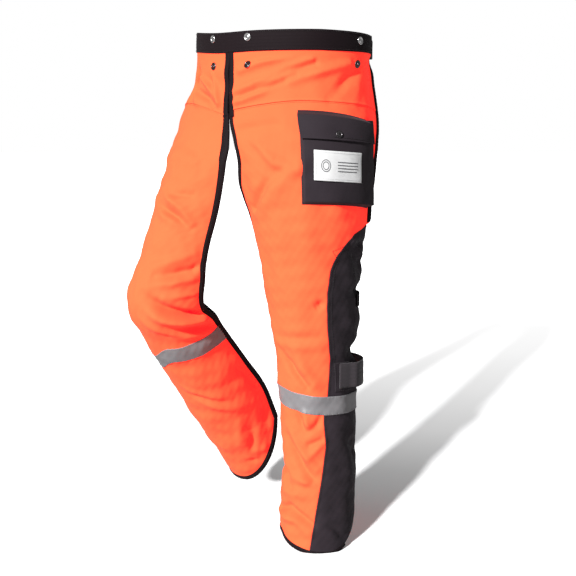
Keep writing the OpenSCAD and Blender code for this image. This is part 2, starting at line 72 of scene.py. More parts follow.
# ---- shape
# height, centre x, centre y, half width, half depth, inner and outer edge
TABLE = {
    1: np.array([
        [0, 0, 0, 188, 144, 0, 122],
        [-75, 0, 0, 192, 144, 0, 124],
        [-150, 2, -2, 206, 146, 0.6, 126],
        [-190, 31, -9, 179, 140, -5, 125],
        [-230, 62, -16, 148, 134, -16, 124],
        [-320, 95, -27, 114, 116, -47, 119],
        [-420, 101, -27, 97, 99, -60, 134],
        [-520, 104, -24, 85, 86, -68, 150],
        [-620, 106, -17, 77, 77, -84, 156],
        [-720, 107, -12, 74, 74, -100, 156],
        [-820, 106, -8, 73, 73, -104, 154],
        [-920, 104, -8, 73, 73, -104, 138],
        [-990, 102, -8, 73, 73, -104, 128]], float),
    -1: np.array([
        [0, 0, 0, 188, 144, 0, 122],
        [-40, -0.1, 0.1, 189.5, 143.9, 0, 123.1],
        [-75, 3, -1, 194, 144, 0, 120],
        [-150, 13, 5, 210, 133, -5, 110],
        [-190, 39, 2, 182, 123, -16, 104],
        [-230, 62, -6, 146, 120, -31, 102],
        [-320, 87, -15, 110, 105, -53, 109],
        [-420, 100, -21, 91, 93, -70, 134],
        [-520, 108, -20, 86, 90, -96, 140],
        [-620, 110, -22, 84, 93, -105, 134],
        [-720, 107, -19, 86, 95, -108, 130],
        [-820, 102, -17, 82, 100, -112, 128],
        [-920, 92, -19, 77, 97, -104, 124],
        [-1020, 87, -19, 75, 97, -104, 120]], float),
}
SEAM = np.array([
    [-346, 119], [-352, 110], [-362, 93], [-378, 83], [-400, 72],
    [-430, 64], [-470, 60.5], [-540, 60], [-600, 62.5], [-674, 57],
    [-704, 51], [-724, 50.5], [-772, 52.5], [-834, 46],
    [-914, 37], [-990, 29]], float)
HIP_Z, BEND_Z, HIP_Y, KNEE_Y = (-53, -119), (-446, -596), -135, -55
HIP_A, KNEE_A, SPLAY = 17.5, 55.5, 7.0
KNEE_TOP = {1: -508, -1: -463}
KNEE_BOT = {1: -605, -1: -566}
STRAP_Z = {1: -492, -1: -434}
CALF_Z = -633
HEM_Z = {1: -990, -1: -1008}
TAPE_W = 37
BAND = 122  # half angle of the waistband
BAND_TOP, BAND_H = 10, 38
POCKET_TOP, POCKET_LOW = -152.0, -304.0
FLAP_SNAP = (-177, 67)  # height and angle of the pocket's snap
LABEL = (125, 55)  # width and height the label's marks are drawn for
WEB_T, KNEE_STRAP_W, CALF_STRAP_W, BELT_W = 1.6, 25, 48, 36
BELT_Y = 142.0
TOP_REF, HEM_REF = -140, -940  # heights at which the ends' angles are read
SIDE = {1: "left", -1: "right"}


def smooth(x):
    x = np.clip(x, 0, 1)
    return x * x * (3 - 2 * x)


def at(side, z):
    """Section row at height z: centre x, y, half width, half depth, edges."""
    t = TABLE[side]
    z = np.asarray(z, float)
    zf = z.ravel()
    i = np.clip(np.searchsorted(-t[:, 0], -zf) - 1, 0, len(t) - 2)
    a, b = t[i], t[i + 1]
    p, q = t[np.maximum(i - 1, 0)], t[np.minimum(i + 2, len(t) - 1)]
    h = (b[:, :1] - a[:, :1])
    k = (zf[:, None] - a[:, :1]) / h
    m = (b - p) / (b[:, :1] - p[:, :1]) * h
    n = (q - a) / (q[:, :1] - a[:, :1]) * h
    s = ((2 * k ** 3 - 3 * k ** 2 + 1) * a + (k ** 3 - 2 * k ** 2 + k) * m
         + (3 * k ** 2 - 2 * k ** 3) * b + (k ** 3 - k ** 2) * n)
    return [s[:, j].reshape(z.shape) for j in range(1, 7)]


def across(n):
    """Column fractions of a patch, 0 to 1."""
    return np.linspace(0, 1, n)[None, :]


def down(n):
    """Row fractions of a patch, 0 to 1."""
    return np.linspace(0, 1, n)[:, None]


def turn(u, v, a):
    """Turn the plane vector (u, v) by a degrees."""
    a = a * K
    return u * np.cos(a) - v * np.sin(a), u * np.sin(a) + v * np.cos(a)


def place(side, p):
    """Neutral leg point (mm) to its place at rest; the right leg is bent."""
    p = np.array(p, float)
    if side > 0:
        return p
    z = p[..., 2].copy()
    wk = smooth((BEND_Z[0] - z) / (BEND_Z[0] - BEND_Z[1]))
    wh = smooth((HIP_Z[0] - z) / (HIP_Z[0] - HIP_Z[1]))
    kz, hz = sum(BEND_Z) / 2, sum(HIP_Z) / 2
    p[..., 0] *= -1
    y, zz = turn(p[..., 1] - KNEE_Y, p[..., 2] - kz, KNEE_A * wk)
    y, zz = turn(y + KNEE_Y - HIP_Y, zz + kz - hz, -HIP_A * wh)
    x, zz = turn(p[..., 0], zz, -SPLAY * wh)
    return np.stack([x, y + HIP_Y, zz + hz], -1)


# Folds of the cloth: points (height, angle), height of the fold at its
# start, middle and end in mm (negative is a valley), half width in mm.
LEFT_FOLDS = [
    # yoke, fanning from the crotch and from the rear snap
    ([(-98, 4), (-74, 30), (-40, 54)], (3, 5, 2.5), 10),
    ([(-118, 5), (-99, 22), (-82, 34)], (3, 4, 1.5), 8),
    ([(-60, 8), (-46, 22), (-34, 42)], (2, 3, 1), 8),
    ([(-80, 40), (-62, 62), (-48, 82)], (1.5, 4, 2), 10),
    ([(-86, 20), (-60, 40), (-48, 56)], (-2, -4, -2), 8),
    ([(-112, 64), (-80, 78), (-58, 92)], (-1, -3, -1.5), 12),
    ([(-116, 84), (-88, 90), (-62, 96)], (0.5, 1.2, 0.5), 14),
    ([(-108, 10), (-90, 28), (-70, 44)], (-2, -3, -1), 7),
    # thigh
    ([(-250, 22), (-267, 8), (-297, -8), (-316, -22)], (-2, -6, -4), 9),
    ([(-232, 40), (-250, 30), (-290, 8), (-330, -14)], (3, 4, 2), 16),
    ([(-168, 20), (-196, 12), (-232, 20), (-240, 38)], (1, 4, 4), 14),
    ([(-160, 30), (-170, 4)], (-2, -3, -2), 10),
    ([(-246, 14), (-238, 34)], (-2, -4, -1), 10),
    # knee
    ([(-492, 52), (-500, 44)], (-6, -4, -1), 9),
    ([(-582, -20), (-621, 6), (-651, 28)], (-1, -7, -4), 8),
    ([(-588, 12), (-622, 26), (-646, 38)], (1, 4, 2), 12),
    ([(-560, -10), (-556, 48)], (-1.5, -2.5, -1), 10),
    ([(-575, -10), (-577, 48)], (1.5, 2, 1), 10),
    # shin
    ([(-708, 22), (-724, 24), (-742, 28)], (2, 5, 2), 9),
    ([(-704, 6), (-722, 14), (-742, 24)], (-2, -5, -3), 8),
    ([(-712, 46), (-728, 40), (-740, 30)], (-2, -5, -3), 7),
    ([(-757, -12), (-784, 0), (-812, 16), (-838, 34)], (-3, -7, -5), 10),
    ([(-750, 0), (-775, 12), (-800, 28), (-815, 38)], (3, 5, 2), 10),
    ([(-794, 26), (-776, 38), (-760, 50)], (2, 4, 2), 9),
    ([(-768, 28), (-758, 46)], (-3, -4, -3), 7),
    ([(-822, -60), (-832, -30), (-858, -6)], (-13, -10, -3), 13),
    ([(-836, 4), (-842, 20), (-842, 34)], (2, 5, 3), 9),
    ([(-870, -20), (-868, 10), (-880, 34)], (3, 3, 1), 12),
    ([(-912, -40), (-898, -8), (-915, 18), (-926, 34)], (-3, -6, -4), 8),
    ([(-918, -50), (-922, 6), (-945, 28)], (3, 5, 2), 10),
    ([(-890, -70), (-880, -40)], (4, 3, 1), 16),
    # rear silhouette of the calf wrap
    ([(-362, 104), (-362, 124)], (1, 1, 0), 10),
    ([(-384, 98), (-384, 130)], (-3, -5, -4), 9),
    ([(-416, 104), (-420, 140)], (-2, -4, -4), 18),
    ([(-474, 100), (-474, 148)], (-3, -7, -8), 13),
    ([(-530, 98), (-528, 150)], (2, 4, 3), 24),
    ([(-592, 100), (-592, 152)], (-3, -9, -8), 16),
    ([(-376, 92), (-410, 118), (-440, 132)], (2, 5, 3), 7),
    ([(-388, 88), (-420, 108)], (-1, -3, -1), 6),
    ([(-760, 96), (-790, 120)], (-2, -5, -4), 16),
    ([(-930, 60), (-950, 80), (-956, 92)], (-1, -3, -1), 7),
]
RIGHT_FOLDS = [
    ([(-70, 27), (-94, 15), (-124, 4)], (3, 5, 2), 8),
    ([(-65, 15), (-100, 8), (-124, 4)], (1, 3, 2), 6),
    ([(-102, 29), (-116, 16), (-128, 9)], (-2, -5, -3), 8),
    ([(-60, 37), (-80, 40), (-112, 38)], (-5, -8, -3), 12),
    ([(-111, 31), (-124, 26), (-133, 20)], (2, 3, 1), 9),
    # thigh
    ([(-210, 16), (-227, -10), (-258, -18)], (-1, -3, -2), 12),
    ([(-305, 20), (-322, 2), (-336, -18), (-356, -35)], (2, 5, 2), 9),
    ([(-334, 18), (-344, 2), (-352, -16), (-366, -36)], (-2, -6, -2), 8),
    ([(-312, 5), (-304, -20)], (-2, -4, -2), 8),
    ([(-350, 14), (-364, -12)], (2, 4, 2), 12),
    ([(-470, -15), (-457, -38), (-440, -58), (-427, -66)], (-2, -5, -6), 8),
    ([(-456, -8), (-434, -34), (-412, -52)], (2, 4, 2), 11),
    ([(-486, -13), (-474, -42), (-454, -68)], (2, 5, 3), 8),
    # knee roll
    ([(-500, -4), (-509, -28), (-518, -45), (-526, -62), (-542, -90)],
     (-2, -13, -17), 9),
    ([(-510, -6), (-522, -24), (-532, -44), (-544, -67), (-566, -92)],
     (1, 10, 10), 10),
    ([(-499, -38), (-492, -60), (-484, -78)], (1, 3, 2), 6),
    ([(-548, -38), (-566, -62), (-590, -84), (-604, -100)], (-2, -6, -7), 8),
    ([(-533, -6), (-554, -36), (-576, -60)], (2, 5, 2), 8),
    ([(-572, -40), (-586, -65), (-606, -94)], (1, 4, 2), 8),
    # shin
    ([(-704, -3), (-726, -26), (-748, -44), (-772, -62)], (1, 3, 1), 8),
    ([(-720, 2), (-745, -26), (-772, -50)], (-1, -3, -1), 7),
    ([(-752, -24), (-780, -45), (-804, -64), (-818, -80)], (2, 5, 2), 12),
    ([(-725, -92), (-756, -98), (-790, -98)], (-2, -4, -2), 12),
    ([(-840, -99), (-868, -93), (-892, -84)], (-3, -6, -3), 13),
    ([(-880, -65), (-898, -59), (-922, -52)], (-2, -5, -3), 9),
    ([(-842, -57), (-868, -49), (-896, -43)], (2, 4, 2), 12),
    ([(-952, -37), (-962, -51)], (-2, -3, -1), 7),
    ([(-935, -58), (-944, -73)], (2, 4, 2), 12),
]
FOLDS = {1: LEFT_FOLDS, -1: RIGHT_FOLDS}
WAVES = {s: [(a, w, RNG.uniform(0, 6.28), RNG.uniform(0, math.pi))
             for a, w in [(0.9, 95), (0.8, 70), (0.6, 52), (0.5, 44),
                          (0.35, 33), (0.3, 27), (0.16, 17), (0.12, 13)]]
         for s in (1, -1)}


def folds(side, z, b):
    """Height of the folds above the smooth shell, in mm."""
    z, b = np.broadcast_arrays(np.asarray(z, float), np.asarray(b, float))
    r_here = at(side, z)[2] * K
    out = np.zeros(z.shape)
    for pts, (h0, h1, h2), width in FOLDS[side]:
        near = (z < max(p[0] for p in pts) + 3 * width) & (
            z > min(p[0] for p in pts) - 3 * width)
        if not near.any():
            continue
        zz, bb = z[near], b[near]
        r = float(np.mean([at(side, p[0])[2] for p in pts])) * K
        lens = [math.hypot(q[0] - p[0], (q[1] - p[1]) * r)
                for p, q in zip(pts, pts[1:])]
        best = np.full(zz.shape, 1e9)
        par = np.zeros(zz.shape)
        done = 0
        for (p, q), ln in zip(zip(pts, pts[1:]), lens):
            dx, dz = (q[1] - p[1]) * r, q[0] - p[0]
            px, pz = (bb - p[1]) * r, zz - p[0]
            t = np.clip((px * dx + pz * dz) / (ln * ln), 0, 1)
            dist = np.hypot(px - t * dx, pz - t * dz)
            hit = dist < best
            best = np.where(hit, dist, best)
            par = np.where(hit, (done + t * ln) / sum(lens), par)
            done += ln
        h = np.where(par < 0.5, h0 + (h1 - h0) * smooth(par * 2),
                     h1 + (h2 - h1) * smooth(par * 2 - 1))
        u = best / width
        gain = 2.0 if pts[0][0] > -135 else 1.4
        out[near] += gain * h * np.exp(-u * u) * (1.12 - 0.25 * u * u)
    x = b * r_here
    calm = 0.35 + 0.65 * smooth((-140 - z) / 80)
    for a, w, ph, th in WAVES[side]:
        out += calm * a * np.sin((x * math.cos(th) + z * math.sin(th))
                                 * 2 * math.pi / w + ph)
    lo, hi = at(side, z)[4:]
    near = np.minimum(np.minimum(b - lo, hi - b) * r_here, z - hem(side, b))
    least = 0.35 if side > 0 else 0.35 - 0.32 * smooth((-400 - z) / 60)
    out *= least + (1 - least) * smooth((near - (2 if side > 0 else 6)) / 22)
    if side > 0:  # the bound edges turn up a little
        turned = np.clip(1 - (hi - b) * r_here / 19, 0, 1.1)
        out += 8.5 * turned ** 2 * smooth((-34 - z) / 30) * smooth(
            (z + 356) / 20)
        turned = np.clip(1 - (b - lo) * r_here / 13, 0, 1.1)
        out += 2.5 * turned ** 2 * smooth((-230 - z) / 70) * smooth(
            (z + 440) / 80)
    if side < 0:  # the outline of this leg is smooth below the knee
        out *= 1 - 0.6 * smooth((-600 - z) / 60) * np.exp(
            -((b - 8) / 16.0) ** 2)
    return out * smooth((-30 - z) / 14)


def beside(side, z, b, d):
    """Plan position (mm) d outside the section at height z, angle b."""
    cx, cy, rx, ry, _, _ = at(side, z)
    s, c = np.sin(b * K), np.cos(b * K)
    nx, ny = s / rx, -c / ry
    n = np.hypot(nx, ny)
    return [cx + rx * s + d * nx / n, cy - ry * c + d * ny / n]


def skin(side, z, b, d=0.0, f=1.0):
    """Point d mm outside the shell at height z and angle b, in metres."""
    z, b, d = np.broadcast_arrays(np.asarray(z, float),
                                  np.asarray(b, float),
                                  np.asarray(d, float))
    off = d + (f * folds(side, z, b) if f else 0)
    off = off - (3 + 1.5 * smooth((z + 110) / 60)) * smooth(
        (b - 88) / 30) * smooth((z + 350) / 60) * smooth(
            (-24 - z) / 16) * (side > 0)
    p = np.stack([*beside(side, z, b, off), z], -1)
    return place(side, p) * 0.001


def inner(side, z):
    return at(side, z)[4]


def outer(side, z):
    return at(side, z)[5]


def seam(side, z):
    s = np.interp(-np.asarray(z, float), -SEAM[:, 0], SEAM[:, 1])
    return np.where(np.asarray(z) > SEAM[0, 0], outer(side, z),
                    np.minimum(s, outer(side, z)))


def yoke_z(side, b):
    b = np.asarray(b, float)
    return ((-115 if side > 0 else -124)
            - 18 * (np.clip(45 - b, 0, 99) / 45) ** 1.5
            - 15 * (np.clip(b - 45, 0, 99) / 75) ** 1.5)


def hem(side, b):
    """Height of the hem at angle b."""
    b = np.asarray(b, float)
    r = (73 if side > 0 else 90) * K
    m = np.clip((b - inner(side, HEM_REF)) * r, 0, None)
    o = np.clip((outer(side, HEM_REF) - b) * r, 0, None)
    rise = lambda x, w, h: h * (1 - np.sqrt(
        np.clip(1 - ((w - np.minimum(x, w)) / w) ** 2, 0, 1)))
    if side > 0:
        z = 0.0037 * np.minimum(np.abs(b - 58), 92) ** 2 + rise(m, 75, 75)
    else:
        z = (0.0025 * np.clip(b - 10, 0, None) ** 2
             + 104 * (np.clip(140 - m, 0, None) / 140) ** 1.9)
    return HEM_Z[side] + z + rise(o, 95, 130)


# ---- materials
def new_mat(name):
    m = bpy.data.materials.new(name)
    m.use_nodes = True
    nt = m.node_tree
    return m, nt, nt.nodes["Principled BSDF"]


def link(a, b):
    """Join an output socket to an input socket."""
    a.id_data.links.new(a, b)


def put(n, **kw):
    """Set a node's input sockets; underscores stand for spaces."""
    for k, v in kw.items():
        n.inputs[k.replace("_", " ")].default_value = v


def node(nt, kind, feed=(), **kw):
    """New node fed by output sockets; names with i_ are input sockets."""
    n = nt.nodes.new(kind)
    for socket, source in dict(feed).items():
        link(source, n.inputs[socket])
    for k, v in kw.items():
        if k.startswith("i_"):
            put(n, **{k[2:]: v})
        else:
            setattr(n, k, v)
    return n


def cloth(name, colour, dark, pitch=1.1, rough=0.75, sheen=0.25, bump=0.25,
          painted_glow=None, mottle=0.12, rib=1.0, spec=0.25):
    """Woven cloth: two crossed thread waves, uneven tone, a soft sheen."""
    m, nt, p = new_mat(name)
    uv = node(nt, "ShaderNodeTexCoord").outputs["UV"]
    waves = [node(nt, "ShaderNodeTexWave", {"Vector": uv},
                  wave_type="BANDS", bands_direction=axis,
                  wave_profile="SIN", i_Scale=314.16 / pitch * mul,
                  i_Distortion=0.8, i_Detail=1.0).outputs["Fac"]
             for axis, mul in (("X", 1.0), ("Y", rib))]
    mul = node(nt, "ShaderNodeMath", {0: waves[0], 1: waves[1]},
               operation="MULTIPLY").outputs[0]
    noise = node(nt, "ShaderNodeTexNoise", {"Vector": uv}, i_Scale=900.0,
                 i_Detail=4.0)
    add = node(nt, "ShaderNodeMath", {0: mul, 1: noise.outputs["Fac"]},
               operation="ADD")
    bp = node(nt, "ShaderNodeBump", {"Height": add.outputs[0]},
              i_Strength=bump, i_Distance=0.0004)
    link(bp.outputs["Normal"], p.inputs["Normal"])
    big = node(nt, "ShaderNodeTexNoise", {"Vector": uv}, i_Scale=22.0,
               i_Detail=5.0)
    tone = node(nt, "ShaderNodeMath", {0: big.outputs["Fac"]},
                operation="MULTIPLY_ADD")
    tone.inputs[1].default_value = mottle * 2
    tone.inputs[2].default_value = 0.5 - mottle
    thread = node(nt, "ShaderNodeMath", {0: mul, 2: tone.outputs[0]},
                  operation="MULTIPLY_ADD")
    thread.inputs[1].default_value = 0.25
    mix = node(nt, "ShaderNodeMix", data_type="RGBA")
    link(thread.outputs[0], mix.inputs["Factor"])
    put(mix, A=dark, B=colour)
    link(mix.outputs["Result"], p.inputs["Base Color"])
    put(p, Roughness=rough, Sheen_Weight=sheen, Sheen_Roughness=0.5,
        Specular_IOR_Level=spec)
    # painted glow: an emission that lights the cloth from within, so its
    # shaded side still shows a bright colour
    if painted_glow:
        put(p, Emission_Color=painted_glow[0], Emission_Strength=painted_glow[1])
    return m


def solid(name, colour, rough=0.45, metal=0.0, bump=0.0, scale=600.0):
    """Smooth material with fine uneven gloss."""
    m, nt, p = new_mat(name)
    put(p, Base_Color=colour, Roughness=rough, Metallic=metal)
    where = node(nt, "ShaderNodeTexCoord").outputs["Object"]
    n = node(nt, "ShaderNodeTexNoise", {"Vector": where}, i_Scale=scale,
             i_Detail=6.0).outputs["Fac"]
    ramp = node(nt, "ShaderNodeMapRange", {"Value": n},
                i_To_Min=rough * 0.8, i_To_Max=min(1.0, rough * 1.25))
    link(ramp.outputs["Result"], p.inputs["Roughness"])
    if bump:
        bp = node(nt, "ShaderNodeBump", {"Height": n}, i_Strength=bump,
                  i_Distance=0.0002)
        link(bp.outputs["Normal"], p.inputs["Normal"])
    return m


MAT = {
    # the orange cloth gets a painted red glow, which keeps its shade a
    # saturated red
    "orange": cloth("orange_shell_cloth", [0.84, 0.165, 0.048, 1],
                    [0.80, 0.14, 0.04, 1], rough=0.8, sheen=0.03,
                    bump=0.2, painted_glow=([1.0, 0.0, 0.018, 1], 0.85),
                    mottle=0.06, spec=0.12),
    "charcoal": cloth("charcoal_cloth", [0.038, 0.028, 0.036, 1],
                      [0.018, 0.013, 0.016, 1], pitch=1.4, rough=0.75,
                      sheen=0.06, bump=0.4, spec=0.15),
    "black": cloth("black_webbing_cloth", [0.012, 0.006, 0.008, 1],
                   [0.006, 0.003, 0.004, 1], pitch=1.6, rough=0.7,
                   sheen=0.03, bump=0.4, spec=0.12),
    "elastic": cloth("ribbed_elastic", [0.055, 0.045, 0.052, 1],
                     [0.018, 0.013, 0.016, 1], pitch=2.6, rib=0.35,
                     rough=0.7, sheen=0.2, bump=0.7),
    "lining": cloth("lining_cloth", [0.03, 0.03, 0.034, 1],
                    [0.012, 0.012, 0.014, 1], pitch=0.9, rough=0.6,
                    sheen=0.2, bump=0.2),
    "pad": cloth("pad_fibre", [0.72, 0.62, 0.36, 1],
                 [0.5, 0.42, 0.22, 1], pitch=2.0, rough=0.9, bump=0.5),
    "tape": cloth("reflective_tape_cloth", [0.26, 0.252, 0.26, 1],
                  [0.17, 0.162, 0.17, 1], pitch=1.0, rough=0.45, sheen=0.0,
                  bump=0.25, mottle=0.2, spec=0.6),
    "label": cloth("woven_label", [0.86, 0.86, 0.86, 1],
                   [0.74, 0.74, 0.74, 1], pitch=0.7, rough=0.7, bump=0.2,
                   mottle=0.03),
    "print": solid("label_print", [0.1, 0.1, 0.11, 1], rough=0.7),
    "thread_black": solid("black_thread", [0.012, 0.01, 0.011, 1],
                          rough=0.55),
    "thread_orange": solid("orange_thread", [0.9, 0.13, 0.04, 1],
                           rough=0.6),
    "thread_grey": solid("grey_thread", [0.35, 0.35, 0.36, 1], rough=0.6),
    "nickel": solid("nickel", [0.75, 0.74, 0.74, 1], rough=0.22, metal=1.0),
    "gunmetal": solid("gunmetal", [0.12, 0.11, 0.115, 1], rough=0.3,
                      metal=1.0),
    "plastic": solid("acetal_plastic", [0.014, 0.013, 0.014, 1],
                     rough=0.42, bump=0.25),
}


# ---- mesh builders
def make(name, verts, faces, mats, mat_index=None, uv=None):
    me = bpy.data.meshes.new(name)
    me.from_pydata([tuple(v) for v in verts], [], faces)
    for m in mats if isinstance(mats, (list, tuple)) else [mats]:
        me.materials.append(MAT[m])
    if mat_index is not None:
        me.polygons.foreach_set("material_index", mat_index)
    if uv is not None:
        lay = me.uv_layers.new(name="UVMap")
        idx = np.empty(len(me.loops), int)
        me.loops.foreach_get("vertex_index", idx)
        lay.data.foreach_set("uv", np.asarray(uv, float)[idx].ravel())
    me.polygons.foreach_set("use_smooth", [True] * len(me.polygons))
    me.update()
    ob = bpy.data.objects.new(name, me)
    bpy.context.scene.collection.objects.link(ob)
    return ob


def swept(rings, m):
    """Faces of a swept section of m points, closed with two end caps."""
    F = [(i + k, i + (k + 1) % m, i + m + (k + 1) % m, i + m + k)
         for i in range(0, (rings - 1) * m, m) for k in range(m)]
    last = (rings - 1) * m
    return F + [tuple(range(m))[::-1], tuple(range(last, last + m))]


def cloth_sheet(name, side, Z, B, d, t, mats, f=1.0):
    """Closed sheet over the grid Z, B at offset d with thickness t."""
    nr, nc = Z.shape
    d = np.broadcast_to(np.asarray(d, float), Z.shape)
    t = np.broadcast_to(np.asarray(t, float), Z.shape)
    out = skin(side, Z, B, d, f)
    inn = skin(side, Z, B, d - t, f)
    rx = at(side, Z)[2] * K
    uv1 = np.stack([B * rx, Z], -1).reshape(-1, 2) * 0.001
    v = np.concatenate([out.reshape(-1, 3), inn.reshape(-1, 3)])
    uv = np.concatenate([uv1, uv1])
    m = nr * nc
    i, j = np.meshgrid(np.arange(nr - 1), np.arange(nc - 1), indexing="ij")
    a = (i * nc + j).ravel()
    quads = np.stack([a, a + nc, a + nc + 1, a + 1], -1)
    back = np.stack([a + 1, a + nc + 1, a + nc, a], -1) + m
    rim_idx = np.concatenate([
        np.arange(nc), np.arange(1, nr) * nc + nc - 1,
        (nr - 1) * nc + np.arange(nc - 2, -1, -1),
        np.arange(nr - 2, 0, -1) * nc])
    nx = np.roll(rim_idx, -1)
    side_f = np.stack([rim_idx, nx, nx + m, rim_idx + m], -1)
    faces = np.concatenate([quads, back, side_f])
    if side < 0:
        faces = faces[:, ::-1]
    mi = np.zeros(len(faces), int)
    if isinstance(mats, (list, tuple)) and len(mats) > 1:
        mi[len(quads):len(quads) + len(back)] = 1
    return make(name, v, faces.tolist(), mats, mi, uv)


def grid(top, bot, b0, b1, nr, nc, dense=None):
    """Heights and angles of a patch; top, bot take the column fraction."""
    v = across(nc)
    w = np.linspace(0, 1, nr) if dense is None else dense
    w = np.asarray(w)[:, None]
    zt = np.broadcast_to(np.asarray(top(v), float), (1, nc))
    zb = np.broadcast_to(np.asarray(bot(v), float), (1, nc))
    Z = zt + (zb - zt) * w
    lo, hi = b0(Z), b1(Z)
    return Z, lo + (hi - lo) * v


def level(x):
    """Patch edge at the same height or angle all along."""
    return lambda v: x + 0 * v


def resample(path, step, side):
    """Even steps of about `step` mm along a (height, angle) path."""
    path = np.asarray(path, float)
    r = at(side, path[:, 0])[2] * K
    x = np.concatenate([[0], np.cumsum(np.hypot(
        np.diff(path[:, 0]), np.diff(path[:, 1]) * (r[1:] + r[:-1]) / 2))])
    n = max(2, int(round(x[-1] / step)) + 1)
    s = np.linspace(0, x[-1], n)
    return np.stack([np.interp(s, x, path[:, 0]),
                     np.interp(s, x, path[:, 1])], -1), s


def frame_on(side, path, flip=1):
    """Step directions (angle, height) pointing into the cloth."""
    r = at(side, path[:, 0])[2] * K
    db = np.gradient(path[:, 1]) * r
    dz = np.gradient(path[:, 0])
    n = np.hypot(db, dz)
    n[n == 0] = 1
    return -dz / n * flip, db / n * flip, r


def binding(name, side, path, width, thick, back, flip=1):
    """Tape folded over a raw edge, swept along a (height, angle) path."""
    pts, s = resample(path, 3.0, side)
    ib, iz, r = frame_on(side, pts, flip)
    sec = [(width, 0.35), (width - 0.3, thick), (width * 0.55, thick + 0.35),
           (1.0, thick + 0.3), (-0.8, thick - 0.35), (-1.5, -0.6),
           (-1.6, -back * 0.5), (-1.5, -back + 0.4), (-0.8, -back - 0.7),
           (1.0, -back - thick), (width - 0.3, -back - thick),
           (width, -back - 0.35), (width * 0.5, -back - 0.1),
           (0.4, -back * 0.6), (0.4, -0.1), (width * 0.5, 0.2)]
    wob = 0.25 * np.sin(s * 2 * math.pi / 7.3)
    lie = []
    for q in (0.5, width):
        h = folds(side, pts[:, 0] + iz * q, pts[:, 1] + ib * q / r)
        h = np.pad(h, 2, mode="edge")
        lie.append(sum(h[k:k + len(s)] for k in range(5)) / 5)
    rows, uvs = [], []
    for k, (q, d) in enumerate(sec):
        rows.append(skin(side, pts[:, 0] + iz * q, pts[:, 1] + ib * q / r,
                         d + lie[0] + (lie[1] - lie[0]) * q / width
                         + wob * (1 if 0 < k < 5 else 0), 0))
        uvs.append(np.stack([s * 0.001, np.full_like(s, k * 0.0012)], -1))
    V = np.stack(rows, 1).reshape(-1, 3)
    U = np.stack(uvs, 1).reshape(-1, 2)
    faces = swept(len(pts), len(sec))
    if side * flip > 0:
        faces = [fc[::-1] for fc in faces]
    return make(name, V, faces, "black", uv=U)


def dashes(name, side, paths, d, mat, pitch=4.0, length=2.9, rad=0.32,
           f=1.0):
    """Rows of sewn stitches, each a short arched thread."""
    V, F, U = [], [], []
    for path in paths:
        fine = resample(path, pitch / 2, side)[0]
        dd = d if np.isscalar(d) else 0.0
        P = skin(side, fine[:, 0], fine[:, 1], dd, f)
        N = skin(side, fine[:, 0], fine[:, 1], dd + 1.0, f) - P
        N /= np.linalg.norm(N, axis=1)[:, None]
        for i in range(1, len(fine) - 1, 2):
            t = P[i + 1] - P[i - 1]
            ln = np.linalg.norm(t)
            if ln < 1e-9:
                continue
            t /= ln
            n = N[i]
            w = np.cross(n, t)
            base = len(V)
            for q, h, rr in ((-0.5, -0.25, 0.55), (-0.3, 0.25, 1.0),
                             (0.3, 0.25, 1.0), (0.5, -0.25, 0.55)):
                c = P[i] + t * q * length * 1e-3 + n * h * 1e-3
                for a in range(5):
                    ca = math.cos(a * 1.2566), math.sin(a * 1.2566)
                    V.append(c + (w * ca[0] + n * ca[1]) * rad * rr * 1e-3)
                    U.append((q * 0.003, a * 0.001))
            F += [tuple(base + k for k in fc) for fc in swept(4, 5)]
    return make(name, V, F, mat, uv=U)


def ribbon(name, side, pts, z0, width, thick, mat):
    """Webbing standing on edge along points [x, y] (mm), neutral pose."""
    pts = np.asarray(pts, float)
    seg = np.hypot(*np.diff(pts, axis=0).T)
    x = np.concatenate([[0], np.cumsum(seg)])
    n = max(8, int(x[-1] / 3))
    s = np.linspace(0, x[-1], n)
    c = np.stack([np.interp(s, x, pts[:, 0]), np.interp(s, x, pts[:, 1])],
                 -1)
    for _ in range(3):
        c[1:-1] = (c[:-2] + 2 * c[1:-1] + c[2:]) / 4
    g = np.gradient(c, axis=0)
    nrm = np.stack([g[:, 1], -g[:, 0]], -1)
    nrm /= np.linalg.norm(nrm, axis=1)[:, None]
    nz = 13
    prof = [(q / (nz - 1), 1.0) for q in range(nz)]
    prof += [(1 - q / (nz - 1), 0.0) for q in range(nz)]
    V, U = [], []
    for k, (q, e) in enumerate(prof):
        edge = min(q, 1 - q) * (nz - 1)
        h = thick * (e + (0.25 if edge < 0.5 else 0) * (1 - 2 * e))
        zz = z0 + width * q
        rib = 0.12 * math.sin(q * width * 2 * math.pi / 3.2) * (2 * e - 1)
        xy = c + nrm * (h + rib)
        V.append(place(side, np.stack(
            [xy[:, 0], xy[:, 1], np.full(n, zz)], -1)) * 0.001)
        U.append(np.stack([s * 0.001, np.full(n, zz * 0.001)], -1))
    V = np.stack(V, 1).reshape(-1, 3)
    U = np.stack(U, 1).reshape(-1, 2)
    F = swept(n, len(prof))
    if side < 0:
        F = [q[::-1] for q in F]
    return make(name, V, F, mat, uv=U)


def lathe(prof, n=48):
    """Ring mesh data from (radius, height) points in mm."""
    turns = [2 * math.pi * a / n for a in range(n)]
    V = [(r * math.cos(t), r * math.sin(t), h) for r, h in prof
         for t in turns]
    return V, swept(len(prof), n)


def basis_on(side, z, b, d):
    """Point on the cloth and axes along it, up it and out of it."""
    o = skin(side, z, b, d)
    up = skin(side, z + 2, b, d) - skin(side, z - 2, b, d)
    al = skin(side, z, b + 1, d) - skin(side, z, b - 1, d)
    n = np.cross(al, up) * (1 if side > 0 else -1)
    n /= np.linalg.norm(n)
    x = al - n * np.dot(al, n)
    x /= np.linalg.norm(x)
    y = np.cross(n, x)
    return o, x, y, n


